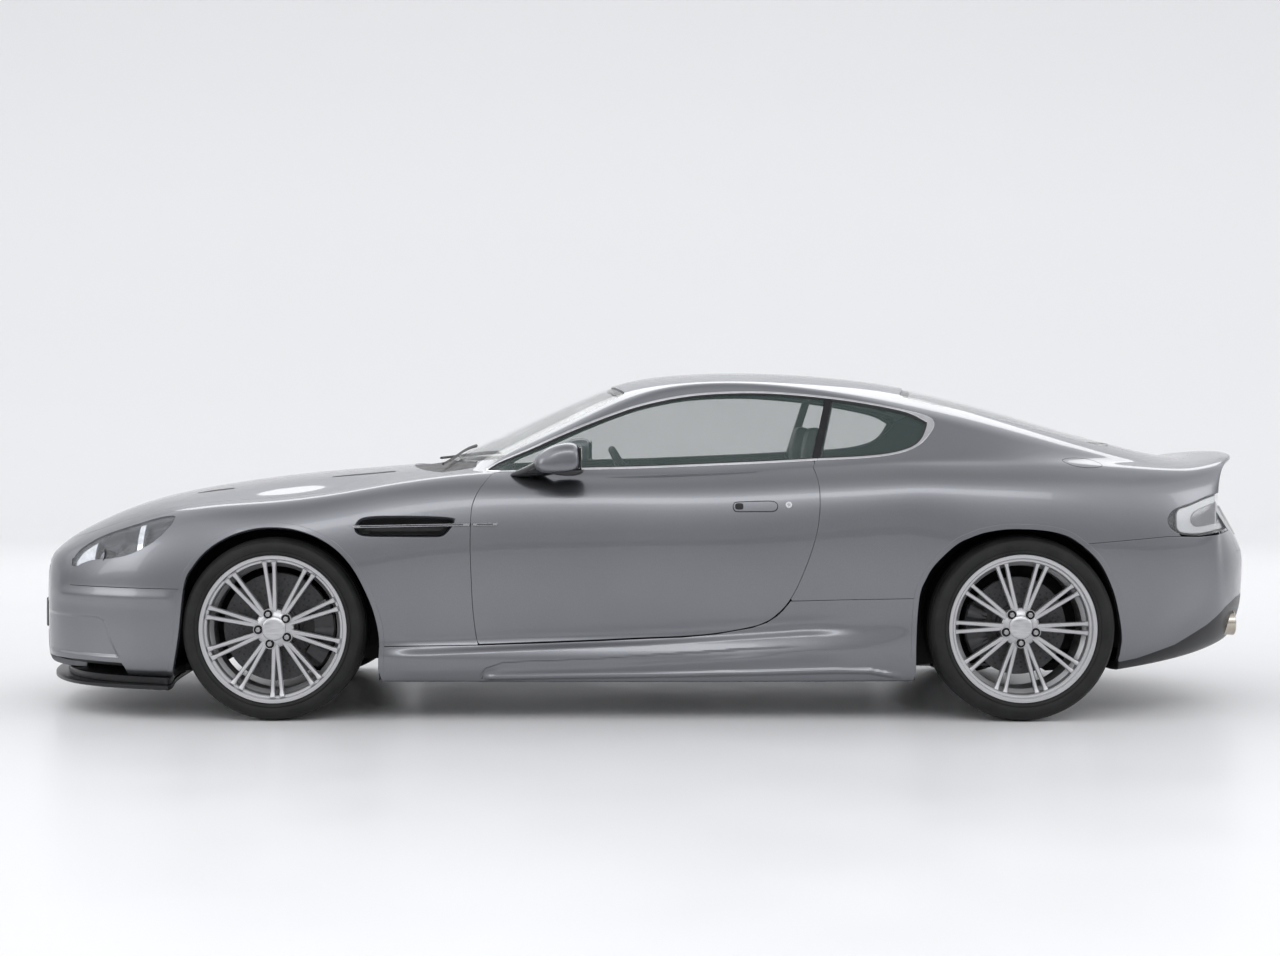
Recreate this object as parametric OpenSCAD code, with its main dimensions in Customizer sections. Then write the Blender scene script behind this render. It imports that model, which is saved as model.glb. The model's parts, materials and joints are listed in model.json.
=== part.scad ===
// Two-door coupe car. Millimetres; the nose points along -X, up is +Z, the car's left side is -Y.

/* [Body] */
// overall length of the body
body_length = 4720; // [3900:10:5700]
// overall width of the body without mirrors
body_width = 1905; // [1590:5:2300]
// height of the roof above the ground
body_height = 1290; // [1150:5:1500]
// thickness of outer skins such as the roof
skin = 26; // [18:1:40]
// gap round doors, bonnet and boot lid
shut_gap = 5; // [4:0.5:8]
// gap between two panels that stay fixed
panel_gap = 0.4; // [0.2:0.1:0.8]
// distance from the middle to the inner face of a door
door_inner_y = 742; // [700:2:780]
// distance from the middle to the inner face of wings and sills
side_inner_y = 662; // [630:2:700]
// thickness of the window glass
glass = 7; // [4:1:10]

/* [Wheels] */
// distance between the axles
wheelbase = 2740; // [2600:5:2900]
// distance of the front axle ahead of the middle
front_axle = 1376; // [1340:2:1410]
// radius of a front tyre
front_tyre_r = 336; // [320:1:345]
// radius of a rear tyre
rear_tyre_r = 340; // [320:1:348]
// width of a front tyre
front_tyre_w = 246; // [205:1:255]
// width of a rear tyre
rear_tyre_w = 296; // [245:1:305]
// middle of a front tyre from the middle of the car
front_half_track = 790; // [770:1:800]
// middle of a rear tyre from the middle of the car
rear_half_track = 784; // [765:1:790]
// radius of the wheel rim at its edge
rim_r = 271; // [250:1:275]
// number of double spokes
spokes = 10; // [5:1:12]
// radius of the stub axle in the hub
stub_r = 25; // [20:1:30]
// radius of a front brake disc
front_disc_r = 199; // [170:1:200]
// radius of a rear brake disc
rear_disc_r = 180; // [160:1:195]

/* [Steering and hinges] */
// distance of the steering axis inboard of the tyre middle
king_offset = 60; // [50:1:75]
// radius of the steering pivot pin
king_pin_r = 11; // [9:0.5:14]
// radius of a door hinge pin
door_pin_r = 6; // [5:0.5:8]
// radius of a lid hinge pin
lid_pin_r = 6; // [5:0.5:8]
// clearance between a pin and its bore
pin_gap = 0.05; // [0.02:0.01:0.09]
// radius of the steering wheel
steering_r = 182; // [165:1:195]

/* [Cabin] */
// width of a front seat
seat_w = 470; // [420:5:520]
// height of the seat back above the cushion
seat_back_h = 640; // [540:5:700]
// middle of a front seat from the middle of the car
seat_y = 365; // [340:5:390]
// thickness of the floor
floor_t = 20; // [12:1:30]

/* [Hidden] */
$fn = 48;
kx = body_length / 4720;
ky = body_width / 1905;
kz = body_height / 1290;
paint = [0.36, 0.37, 0.39];
black = [0.05, 0.05, 0.055];
metal = [0.62, 0.63, 0.65];
steel = [0.3, 0.3, 0.31];
hide = [0.09, 0.09, 0.1];
pane = [0.45, 0.55, 0.53, 0.5];

// wheel places
fx = -front_axle * kx;
rx = fx + wheelbase * kx;
fz = front_tyre_r;
rz = rear_tyre_r;
fy = front_half_track * ky;
ry = rear_half_track * ky;
king_y = fy - king_offset;
in_y = side_inner_y * ky;
door_y = door_inner_y * ky;

// Half sections of the body from nose to tail: station along the car, bow of the section, then
// points from the middle of the underside, round the sill, shoulder and roof edge, to the top.
sections = [
    [-2360, 0, [for (i = [0:16]) [0, 420]]],
    [-2357, 150, [[0, 260], [120, 262], [190, 270], [225, 290], [245, 315], [255, 345], [260, 375],
        [260, 410], [258, 440], [250, 470], [235, 495], [210, 515], [180, 530], [145, 541], [105, 549],
        [55, 554], [0, 556]]],
    [-2347, 180, [[0, 185], [250, 187], [400, 195], [450, 212], [475, 240], [488, 280], [494, 330],
        [494, 390], [488, 445], [472, 492], [445, 528], [408, 552], [360, 568], [300, 578], [220, 586],
        [115, 591], [0, 593]]],
    [-2322, 230, [[0, 165], [300, 166], [520, 172], [585, 188], [612, 220], [626, 265], [632, 325],
        [632, 400], [622, 470], [600, 525], [565, 562], [520, 584], [460, 597], [380, 605], [280, 612],
        [145, 617], [0, 619]]],
    [-2270, 260, [[0, 155], [330, 155], [600, 160], [680, 175], [710, 210], [724, 260], [731, 330],
        [731, 415], [722, 495], [696, 556], [656, 594], [605, 616], [535, 630], [440, 640], [320, 649],
        [165, 655], [0, 657]]],
    [-2175, 250, [[0, 150], [360, 150], [660, 154], [752, 168], [786, 205], [800, 260], [808, 340],
        [808, 435], [798, 525], [770, 595], [728, 637], [672, 660], [595, 674], [490, 686], [355, 697],
        [185, 704], [0, 706]]],
    [-2045, 200, [[0, 150], [400, 150], [710, 152], [806, 164], [842, 205], [856, 268], [864, 350],
        [864, 450], [854, 550], [826, 630], [784, 680], [728, 707], [645, 722], [530, 736], [385, 749],
        [200, 758], [0, 760]]],
    [-1870, 150, [[0, 150], [430, 150], [750, 150], [848, 160], [884, 205], [896, 275], [904, 365],
        [905, 470], [895, 580], [866, 672], [822, 728], [768, 756], [682, 770], [560, 785], [405, 799],
        [210, 808], [0, 811]]],
    [-1650, 100, [[0, 150], [450, 150], [770, 148], [874, 156], [910, 210], [922, 290], [929, 390],
        [930, 500], [920, 618], [890, 712], [844, 764], [790, 787], [700, 798], [575, 817], [415, 835],
        [215, 847], [0, 851]]],
    [-1430, 60, [[0, 150], [460, 150], [785, 146], [884, 154], [918, 215], [928, 300], [934, 410],
        [935, 530], [924, 648], [892, 735], [848, 781], [795, 802], [705, 812], [575, 837], [415, 862],
        [215, 876], [0, 881]]],
    [-1200, 50, [[0, 150], [470, 150], [795, 144], [884, 152], [912, 220], [914, 300], [919, 420],
        [921, 550], [910, 675], [878, 765], [838, 809], [788, 829], [706, 837], [575, 860], [415, 884],
        [215, 898], [0, 903]]],
    [-1010, 90, [[0, 150], [475, 150], [800, 143], [880, 150], [904, 225], [896, 298], [905, 420],
        [911, 570], [902, 705], [872, 800], [832, 846], [782, 866], [712, 872], [580, 886], [418, 901],
        [218, 913], [0, 918]]],
    [-870, 190, [[0, 150], [478, 150], [800, 142], [878, 150], [900, 230], [884, 298], [899, 420],
        [908, 585], [900, 730], [870, 828], [822, 874], [772, 893], [712, 898], [600, 906], [440, 918],
        [230, 928], [0, 932]]],
    [-775, 270, [[0, 150], [480, 150], [800, 141], [876, 150], [898, 232], [880, 298], [897, 420],
        [907, 590], [900, 738], [870, 838], [812, 884], [766, 904], [718, 912], [652, 924], [470, 938],
        [240, 950], [0, 955]]],
    [-600, 280, [[0, 150], [480, 150], [800, 141], [875, 150], [897, 234], [876, 298], [896, 420],
        [907, 595], [900, 742], [870, 842], [808, 886], [776, 906], [742, 932], [694, 972], [622, 1006],
        [325, 1030], [0, 1038]]],
    [-375, 250, [[0, 150], [480, 150], [800, 141], [874, 150], [897, 235], [874, 298], [896, 420],
        [908, 598], [901, 746], [870, 845], [806, 889], [780, 910], [735, 975], [664, 1064], [594, 1100],
        [318, 1131], [0, 1142]]],
    [-140, 200, [[0, 150], [480, 150], [800, 141], [873, 150], [897, 236], [874, 298], [896, 420],
        [909, 600], [902, 748], [870, 846], [804, 893], [779, 915], [712, 1020], [626, 1150], [560, 1192],
        [308, 1226], [0, 1238]]],
    [80, 140, [[0, 150], [480, 150], [800, 141], [873, 150], [897, 237], [874, 300], [896, 420],
        [909, 600], [902, 750], [870, 848], [803, 899], [778, 921], [705, 1050], [605, 1197], [548, 1237],
        [302, 1266], [0, 1278]]],
    [350, 50, [[0, 150], [480, 150], [800, 141], [873, 151], [897, 240], [875, 308], [896, 425],
        [909, 600], [903, 752], [872, 852], [804, 908], [779, 930], [705, 1062], [600, 1206], [546, 1245],
        [300, 1278], [0, 1289]]],
    [620, 0, [[0, 150], [480, 150], [800, 142], [874, 153], [898, 248], [882, 330], [898, 440],
        [910, 602], [906, 756], [878, 860], [808, 920], [781, 942], [710, 1055], [610, 1184], [552, 1224],
        [302, 1266], [0, 1279]]],
    [860, -20, [[0, 150], [480, 150], [800, 143], [876, 155], [902, 258], [895, 355], [906, 460],
        [916, 615], [913, 765], [888, 868], [816, 932], [786, 952], [718, 1040], [632, 1142], [566, 1186],
        [306, 1240], [0, 1254]]],
    [1050, -60, [[0, 150], [480, 150], [790, 144], [880, 156], [912, 266], [912, 370], [922, 480],
        [930, 630], [926, 775], [902, 874], [836, 934], [796, 954], [738, 1020], [660, 1098], [584, 1146],
        [312, 1206], [0, 1222]]],
    [1280, -100, [[0, 150], [470, 150], [770, 145], [884, 158], [925, 272], [932, 385], [944, 500],
        [950, 640], [942, 775], [914, 872], [848, 930], [802, 952], [752, 994], [690, 1050], [604, 1100],
        [320, 1152], [0, 1168]]],
    [1530, -120, [[0, 150], [440, 150], [730, 148], [876, 162], [922, 278], [934, 390], [946, 505],
        [952, 640], [942, 770], [912, 866], [850, 922], [806, 946], [758, 966], [700, 998], [606, 1040],
        [325, 1082], [0, 1098]]],
    [1780, -140, [[0, 160], [400, 160], [680, 165], [838, 185], [892, 290], [910, 395], [922, 505],
        [928, 635], [916, 762], [884, 856], [826, 908], [784, 930], [732, 942], [670, 956], [574, 980],
        [310, 1012], [0, 1025]]],
    [1990, -180, [[0, 180], [370, 180], [620, 188], [780, 215], [846, 310], [872, 405], [886, 510],
        [890, 635], [876, 758], [844, 850], [792, 898], [748, 918], [692, 928], [622, 936], [524, 946],
        [285, 962], [0, 970]]],
    [2140, -230, [[0, 205], [330, 205], [560, 214], [712, 245], [792, 330], [826, 415], [844, 515],
        [848, 635], [834, 758], [802, 850], [752, 896], [708, 914], [650, 924], [578, 931], [480, 939],
        [260, 950], [0, 956]]],
    [2240, -270, [[0, 235], [290, 235], [490, 244], [640, 275], [736, 350], [780, 430], [800, 520],
        [804, 635], [790, 758], [758, 850], [712, 900], [668, 922], [610, 936], [538, 946], [446, 955],
        [240, 966], [0, 971]]],
    [2300, -300, [[0, 270], [250, 270], [430, 278], [570, 305], [676, 370], [730, 445], [752, 528],
        [757, 640], [745, 758], [716, 846], [676, 896], [634, 922], [578, 938], [508, 950], [420, 959],
        [226, 969], [0, 973]]],
    [2330, -330, [[0, 320], [200, 320], [350, 328], [480, 350], [600, 400], [668, 462], [694, 535],
        [700, 640, -10], [694, 740, -25], [672, 820, -45], [640, 868, -60], [600, 896, -60],
        [548, 914, -52], [482, 927, -40], [398, 936, -30], [214, 944, -22], [0, 947, -20]]],
    [2350, -340, [[0, 380], [150, 380], [270, 386], [380, 402], [490, 440], [560, 486], [596, 540],
        [608, 625, -12], [606, 705, -45], [592, 775, -85], [566, 820, -110], [530, 846, -120],
        [484, 862, -118], [424, 872, -112], [350, 879, -108], [188, 885, -104], [0, 887, -103]]],
    [2358, -340, [[0, 450], [90, 450], [165, 454], [235, 464], [310, 486], [365, 514], [395, 548],
        [408, 598, -8], [408, 655, -32], [398, 705, -62], [380, 742, -85], [354, 766, -98],
        [322, 782, -104], [282, 793, -106], [232, 800, -107], [125, 806, -108], [0, 808, -108]]],
    [2360, -340, [[0, 520], [40, 520], [75, 522], [105, 527], [135, 537], [160, 550], [175, 566],
        [182, 590, -2], [182, 615, -12], [178, 640, -24], [170, 660, -34], [158, 675, -42],
        [144, 686, -48], [126, 694, -53], [104, 700, -56], [56, 704, -58], [0, 706, -59]]],
    [2355, 0, [for (i = [0:16]) [0, 580]]],
];
stations = len(sections);
rows = 17;
function station_point(s, p) =
    [kx * (s[0] + s[1] * pow(p[0] / 950, 2) + (len(p) > 2 ? p[2] : 0)), ky * p[0], kz * p[1]];
base_net = [for (s = sections) [for (p = s[2]) station_point(s, p)]];
function flip(p) = [p[0], -p[1], p[2]];
function pad_rows(n) = [for (r = n) concat([flip(r[1])], r, [flip(r[rows - 2])])];
function pad_net(n) = let (m = pad_rows(n), k = len(m)) concat([2 * m[0] - m[1]], m,
    [2 * m[k - 1] - m[k - 2]]);
function blur(p) = [for (i = [1:stations]) let (m = (p[i - 1] + 4 * p[i] + p[i + 1]) / 6)
    [for (j = [1:rows]) (m[j - 1] + 4 * m[j] + m[j + 1]) / 6]];
function sharpen(q) = let (s = q + (base_net - blur(pad_net(q))))
    [for (r = s) [for (j = [0:rows - 1]) j == 0 || j == rows - 1 ? [r[j][0], 0, r[j][2]] : r[j]]];
net = pad_net(sharpen(sharpen(base_net)));

function weights(t) = [pow(1 - t, 3), 3 * t * t * t - 6 * t * t + 4,
    -3 * t * t * t + 3 * t * t + 3 * t + 1, t * t * t] / 6;
function mix(w, a, b, c, d) = w[0] * a + w[1] * b + w[2] * c + w[3] * d;
us = [for (i = [0:stations - 1]) each (i < 6 || (i > 26 && i < stations - 1) ? [i, i + 0.5] : [i])];
vs = [0, 1, 2, 2.5, 3, 3.5, 4, 4.5, 5, 6, 7, 8, 8.5, 9, 9.5, 10, 10.5, 11, 12, 13, 13.5, 14, 15, 16];
nu = len(us);
nv = len(vs);
surface = [for (u = us) let (i = min(floor(u), stations - 2), w = weights(u - i),
    r = mix(w, net[i], net[i + 1], net[i + 2], net[i + 3]))
    [for (v = vs) let (j = min(floor(v), rows - 2), h = weights(v - j))
        mix(h, r[j], r[j + 1], r[j + 2], r[j + 3])]];
function unit(v) = v / max(norm(v), 1e-9);
function row_at(i, j) = j < 0 ? flip(surface[i][1]) : j >= nv ? flip(surface[i][nv - 2]) : surface[i][j];
normals = [for (i = [0:nu - 1]) [for (j = [0:nv - 1])
    i == 0 ? [-1, 0, 0] : i == nu - 1 ? [1, 0, 0] :
    unit(cross(row_at(i, j + 1) - row_at(i, j - 1), surface[i + 1][j] - surface[i - 1][j]))]];

// The body as one closed solid, drawn in by the given depth, less of it at the thin lip of the tail.
function ramp(a, b, v) = min(1, max(0, (v - a) / (b - a)));
function thin(p) = 1 - 0.72 * ramp(2010 * kx, 2120 * kx, p[0]) * ramp(800 * kz, 890 * kz, p[2]);
module hull_solid(depth) {
    s = [for (i = [0:nu - 1]) [for (j = [0:nv - 1])
        surface[i][j] - depth * thin(surface[i][j]) * normals[i][j]]];
    ring = 2 * nv - 2;
    pts = concat([s[0][0]], [for (i = [1:nu - 2]) each concat(s[i],
        [for (j = [nv - 2:-1:1]) flip(s[i][j])])],
        [s[nu - 1][0]]);
    function at(i, j) = 1 + (i - 1) * ring + (j % ring);
    last = len(pts) - 1;
    polyhedron(points = pts, faces = concat(
        [for (j = [0:ring - 1]) [0, at(1, j), at(1, j + 1)]],
        [for (i = [1:nu - 3]) for (j = [0:ring - 1]) each
            [[at(i, j), at(i + 1, j), at(i + 1, j + 1)], [at(i, j), at(i + 1, j + 1), at(i, j + 1)]]],
        [for (j = [0:ring - 1]) [last, at(nu - 2, j + 1), at(nu - 2, j)]]));
}

// Cutting prisms: from the side (x and z), and from above (x and y).
function body_xz(pts) = [for (p = pts) [kx * p[0], kz * p[1]]];
function body_xy(pts) = [for (p = pts) [kx * p[0], ky * p[1]]];
function round_xz(pts, cx, cz, r) = [for (p = pts) [cx + p[0] * r, cz + p[1] * r]];
module side(pts, y0 = 0, y1 = 1200, grow = 0)
    translate([0, y1, 0]) rotate([90, 0, 0]) linear_extrude(y1 - y0) offset(delta = grow) polygon(pts);
module above(pts, z0 = -50, z1 = 1500, grow = 0)
    translate([0, 0, z0]) linear_extrude(z1 - z0) offset(delta = grow) polygon(pts);
module slab(x0, x1, y0, y1, z0, z1) translate([x0, y0, z0]) cube([x1 - x0, y1 - y0, z1 - z0]);
module left() mirror([0, 1, 0]) children();
module both() { children(); left() children(); }
module shape() resize([0, 0, 0]) union() children();

// Outlines of the openings and shut lines.
arch_front = [[-1.30, -1.2], [-1.13, -0.55], [-1.033, -0.08], [-0.965, 0.49], [-0.86, 0.70], [-0.73,
    0.85],
    [-0.575, 0.962], [-0.40, 1.045], [-0.20, 1.098], [0, 1.113], [0.21, 1.095], [0.41, 1.038], [0.58,
        0.955],
    [0.735, 0.838], [0.88, 0.665], [1.005, 0.435], [1.105, 0.178], [1.16, -0.11], [1.15, -0.45],
        [1.145, -1.2]];
arch_rear = [[-1.135, -1.2], [-1.145, -0.50], [-1.145, -0.10], [-1.115, 0.34], [-1.05, 0.53], [-0.955,
    0.69],
    [-0.74, 0.90], [-0.58, 0.985], [-0.42, 1.04], [-0.22, 1.073], [-0.04, 1.078], [0.16, 1.067], [0.33,
        1.042],
    [0.50, 0.985], [0.65, 0.88], [0.77, 0.77], [0.866, 0.64], [0.965, 0.43], [1.03, 0.21], [1.085, -0.10],
    [1.07, -0.36], [1.05, -1.2]];
door_line = body_xz([[-571, 904], [-600, 868], [-634, 825], [-650, 741], [-652, 660], [-651, 602],
    [-646, 462], [-638, 370], [-626, 283], [-399, 290], [-182, 298], [-34, 305], [120, 311], [246, 322],
    [376, 345], [430, 364], [462, 387], [490, 414], [513, 444], [540, 492], [563, 546], [584, 600],
        [602, 657],
    [616, 712], [621, 760], [623, 835], [619, 872], [611, 905], [605, 925], [599, 950], [249, 932.6],
    [-34, 921.6], [-251, 916.6], [-394, 912.6], [-576, 908]]);
glass_line = body_xz([[-600, 925], [-581, 935], [-437, 999], [-263, 1077], [-148, 1122], [-34, 1160],
    [110, 1191],
    [255, 1206], [448, 1208], [668, 1190], [832, 1166], [976, 1136], [1060, 1110], [1068, 1090], [1057,
        1060],
    [1000, 1005], [914, 975], [792, 960], [613, 951], [249, 933], [-34, 922], [-251, 917], [-394, 913],
    [-600, 908]]);
screen_top = body_xy([[-787, -1], [-787, 0], [-783, 90], [-772, 190], [-752, 290], [-722, 390], [-684,
    480],
    [-640, 560], [-597, 612], [-560, 640], [-380, 592], [-200, 545], [-118, 516], [-96, 490], [-100, 430],
    [-118, 330], [-136, 200], [-148, 90], [-151, 0], [-151, -1]]);
rear_glass = body_xy([[1016, -1], [1016, 0], [1012, 120], [1000, 250], [984, 350], [972, 420], [976, 455],
    [1000, 478], [1080, 488], [1250, 486], [1450, 474], [1620, 455], [1720, 436], [1762, 408], [1788,
        350],
    [1812, 240], [1826, 120], [1830, 0], [1830, -1]]);
bonnet_line = body_xy([[-938, -1], [-938, 0], [-934, 120], [-922, 240], [-900, 360], [-868, 470],
    [-828, 560],
    [-786, 630], [-752, 676], [-742, 700], [-752, 712], [-800, 716], [-1000, 716], [-1200, 714],
        [-1430, 708],
    [-1650, 696], [-1760, 684], [-1860, 656], [-1960, 610], [-2060, 548], [-2150, 470], [-2215, 385],
    [-2262, 290], [-2290, 190], [-2304, 90], [-2308, 0], [-2308, -1]]);
lid_line = body_xy([[1872, -1], [1872, 0], [1870, 120], [1862, 240], [1850, 340], [1842, 400], [1850,
    432],
    [1880, 452], [1960, 470], [2060, 484], [2150, 492], [2500, 492], [2500, -1]]);
lamp_line = body_xz([[-2172, 560], [-2162, 592], [-2130, 626], [-2055, 667], [-1943, 704], [-1830, 738],
    [-1775, 748], [-1752, 744], [-1756, 726], [-1768, 706], [-1812, 663], [-1868, 628], [-1930, 602],
    [-2000, 588], [-2074, 580], [-2120, 566], [-2150, 552]]);
tail_line = body_xz([[1905, 728], [1910, 752], [1946, 776], [2001, 794], [2083, 822], [2150, 832],
    [2230, 836],
    [2420, 836], [2420, 700], [2230, 690], [2134, 684], [2038, 674], [1964, 680], [1927, 700]]);
sill_line = body_xz([[-1100, 60], [-1100, 271], [-984, 272], [-626, 277], [-399, 284], [-182, 292],
    [-34, 299],
    [120, 305], [246, 316], [376, 339], [432, 358], [466, 381], [494, 408], [517, 438], [700, 443],
    [983, 449], [1100, 452], [1100, 60]]);
bumper_line = body_xz([[-2600, 60], [-2600, 470], [-2172, 483], [-1950, 484], [-1600, 483], [-1600, 60]]);
tail_bumper = body_xz([[1500, 60], [1500, 640], [1622, 652], [1911, 674], [2038, 670], [2420, 690],
    [2420, 60]]);

// Space kept free inside the skins: full width above the waist, between the side walls below it.
module inside(y_in, top = 0) intersection() {
    hull_solid(skin);
    union() {
        slab(-2500, 2500, -y_in, y_in, floor_t + 150 * kz - 60, 900 * kz);
        slab(-2500, 2500, -1000, 1000, 880 * kz, 1500);
    }
}
module shell(y_in) difference() { hull_solid(0); inside(y_in); }

// Room for each wheel: the arch seen from the side, and the sweep of the steered wheel.
module wheel_room() {
    g = 14;
    sweep = sqrt(pow(front_tyre_r - 12, 2) + pow(king_offset + front_tyre_w / 2 - 4, 2)) + 8;
    both() {
        side(round_xz(arch_front, fx, fz, front_tyre_r), in_y - 60, 1200);
        intersection() {
            translate([fx, king_y, -20]) cylinder(r = sweep, h = fz + front_tyre_r + 44);
            hull_solid(18);
            slab(-4000, 0, 0, fy + front_tyre_w / 2 - 33, -50, 1000);
        }
        side(round_xz(arch_rear, rx, rz, rear_tyre_r), in_y - 60, 1200);
        translate([rx, 1000, rz]) rotate([90, 0, 0])
            cylinder(r = rear_tyre_r + 22, h = 1000 - ry + rear_tyre_w / 2 + g);
    }
}

module front_wing() shape() difference() {
    intersection() {
        shell(in_y);
        side(body_xz([[-2500, 488], [-2172, 487], [-1950, 488], [-1600, 487], [-1600, 275], [-984, 275],
            [-632, 278], [-632, 850], [-555, 850], [-555, 1100], [-2500, 1100]]), 250 * ky, 1200,
                -panel_gap / 2);
        slab(-2174.6 * kx, -500, 0, 1200, 0, 1500);
    }
    above(bonnet_line, grow = shut_gap);
    above(screen_top, 880 * kz, 1500, grow = panel_gap);
    side(door_line, 0, 1200, shut_gap);
    side(lamp_line, 0, 1200, panel_gap);
    slab(-960 * kx, 0, -10, 640 * ky, 0, 1500);
    slab(-652 * kx, 0, 0, 1200, 904.6 * kz, 1500);
    door_swing();
    wheel_room();
}

module rear_quarter() shape() difference() {
    intersection() {
        shell(in_y);
        side(body_xz([[505, 430], [517, 441], [983, 452], [1500, 452], [1500, 640], [1622, 655], [1911,
            677],
            [2038, 673], [2420, 693], [2420, 1500], [1151, 1500], [1141, 1202], [1101, 1112], [1069,
                1096],
            [1040, 1078], [960, 1040], [780, 1000], [680, 990], [655, 953], [600, 951.5], [505, 947]]),
            0.2, 1200, -panel_gap / 2);
        slab(500 * kx, 2500, 0, 1200, 0, 1500);
    }
    above(lid_line, grow = shut_gap);
    above(rear_glass, 880 * kz, 1500, grow = panel_gap);
    side(door_line, 0, 1200, shut_gap);
    side(tail_line, 0, 1200, panel_gap);
    side(glass_line, 0, 1200, panel_gap);
    wheel_room();
}

module sill() shape() difference() {
    intersection() {
        shell(in_y);
        side(sill_line, in_y, 1200, -panel_gap);
    }
    wheel_room();
}

module roof() shape() difference() {
    intersection() {
        difference() { hull_solid(0); hull_solid(skin); }
        side(body_xz([[-652, 905], [-560, 905], [505, 947], [600, 951.5], [655, 953], [680, 990], [780,
            1000],
            [960, 1040], [1040, 1078], [1069, 1096], [1101, 1112], [1141, 1202], [1151, 1500], [-652,
                1500]]),
            -1200, 1200, -panel_gap / 2);
    }
    both() {
        above(screen_top, 880 * kz, 1500, grow = panel_gap);
        above(rear_glass, 880 * kz, 1500, grow = panel_gap);
        side(door_line, 0, 1200, shut_gap);
        difference() {
            side(glass_line, 0, 1200, shut_gap);
            side(post_band(0, 30));
        }
    }
}
function post_band(a, b) = body_xz([[594 + a, 900], [683 + a, 1230], [683 + b, 1230], [594 + b, 900]]);
module pane_shell() difference() { hull_solid(0); hull_solid(glass); }
module windscreen() shape() intersection() {
    pane_shell();
    both() above(screen_top, 880 * kz, 1500);
}
module rear_window() shape() intersection() {
    pane_shell();
    both() above(rear_glass, 880 * kz, 1500);
}
module quarter_window() shape() difference() {
    intersection() { pane_shell(); side(glass_line, 0, 1200); }
    side(body_xz([[-800, 800], [594 + 35, 900], [683 + 35, 1230], [683, 1600], [-800, 1600]]));
}
module door_window() shape() difference() {
    intersection() { pane_shell(); side(glass_line, 0, 1200); }
    side(body_xz([[2000, 800], [594 - 6, 900], [683 - 6, 1230], [683, 1600], [2000, 1600]]));
    side(body_xz([[-900, 880], [-576, 880], [-576, 1100], [-900, 1100]]));
}

// Doors: a skin with the full outline on a thick inner frame that is set in all round.
hinge_x = -622 * kx;
hinge_y = 885 * ky;
hinge_z = [500 * kz, 720 * kz];
module door_zone(shrink) side(door_line, 0, 1200, -shrink);
module door_shell() shape() difference() {
    union() {
        intersection() { difference() { hull_solid(0); hull_solid(24); } door_zone(0); slab(-900, 900,
            door_y, 1200, 0, 1500); }
        intersection() { hull_solid(3); door_zone(14); slab(-900, 900, door_y, 1200, 0, 1500); }
    }
    for (z = hinge_z) translate([hinge_x, hinge_y, z]) {
        slab(-60, 14, -62, 13, -20, 20);
        slab(-14, 30, -16, 14.5, -42, 42);
    }
}
// Room in the wing for the front edge of a door as it swings.
module door_swing() translate([hinge_x, hinge_y, 0]) rotate_extrude($fn = 40)
    polygon([[0, 300 * kz], [16, 330 * kz], [28, 420 * kz], [36, 500 * kz], [41.5, 602 * kz],
        [41.5, 680 * kz], [37, 741 * kz], [26, 790 * kz], [18, 825 * kz], [0, 850 * kz]]);
module door_knuckles() for (z = hinge_z) translate([hinge_x, hinge_y, z]) for (s = [-1, 1])
    difference() {
        union() {
            translate([0, 0, s > 0 ? 14.5 : -36]) cylinder(r = 12, h = 21.5);
            slab(0, 29.7, -12, 6, s > 0 ? 14.5 : -36, s > 0 ? 36 : -14.5);
        }
        translate([0, 0, -50]) cylinder(r = door_pin_r + pin_gap, h = 100);
    }
module door_hinge_pins() for (z = hinge_z) translate([hinge_x, hinge_y, z]) {
    difference() {
        union() {
            cylinder(r = door_pin_r, h = 72, center = true);
            slab(-7, 7, -40, 0, -13.5, 13.5);
            slab(-34, 7, -40, -28, -13.5, 13.5);
            cylinder(r = 9, h = 27, center = true);
        }
    }
}

module front_bumper() shape() difference() {
    intersection() {
        difference() { hull_solid(0); hull_solid(skin + 6); }
        union() {
            side(bumper_line, -1200, 1200, -panel_gap);
            slab(-2400 * kx, -2175 * kx, -1200, 1200, 60, 1000);
        }
    }
    both() {
        above(bonnet_line, 520 * kz, 1500, grow = shut_gap);
        side(lamp_line, 0, 1200, panel_gap);
    }
    for (g = [upper_grille, lower_grille]) grille_box(g, -2200 * kx);
    slab(-2500, -1000, -1200, 1200, 0, 150.5 * kz);
    slab(-1660 * kx, -1500, -620 * ky, 620 * ky, 0, 400);
    wheel_room();
}
module front_lamp_zone() side(lamp_line, 250 * ky, 1200);
module headlamp() shape() difference() {
    intersection() { difference() { hull_solid(0); hull_solid(60); } front_lamp_zone(); }
    above(bonnet_line, grow = shut_gap);
    wheel_room();
}
module tail_lamp() shape() difference() {
    intersection() { difference() { hull_solid(0); hull_solid(50); } side(tail_line, 250 * ky, 1200); }
    above(lid_line, grow = shut_gap);
}

module splitter_blade(z0, z1, grow) above(body_xy([[-2352, 0], [-2345, 150], [-2322, 290], [-2285, 430],
    [-2230, 560], [-2160, 665], [-2070, 750], [-1970, 812], [-1860, 858], [-1762, 890], [-1762, 640],
    [-2000, 600], [-2120, 470], [-2180, 300], [-2200, 0]]), z0, z1, grow);
module splitter() shape() difference() {
    union() {
        both() splitter_blade(112 * kz, 126 * kz, 0);
        both() splitter_blade(120 * kz, 240 * kz, -16);
    }
    hull_solid(-panel_gap);
    wheel_room();
}

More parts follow.
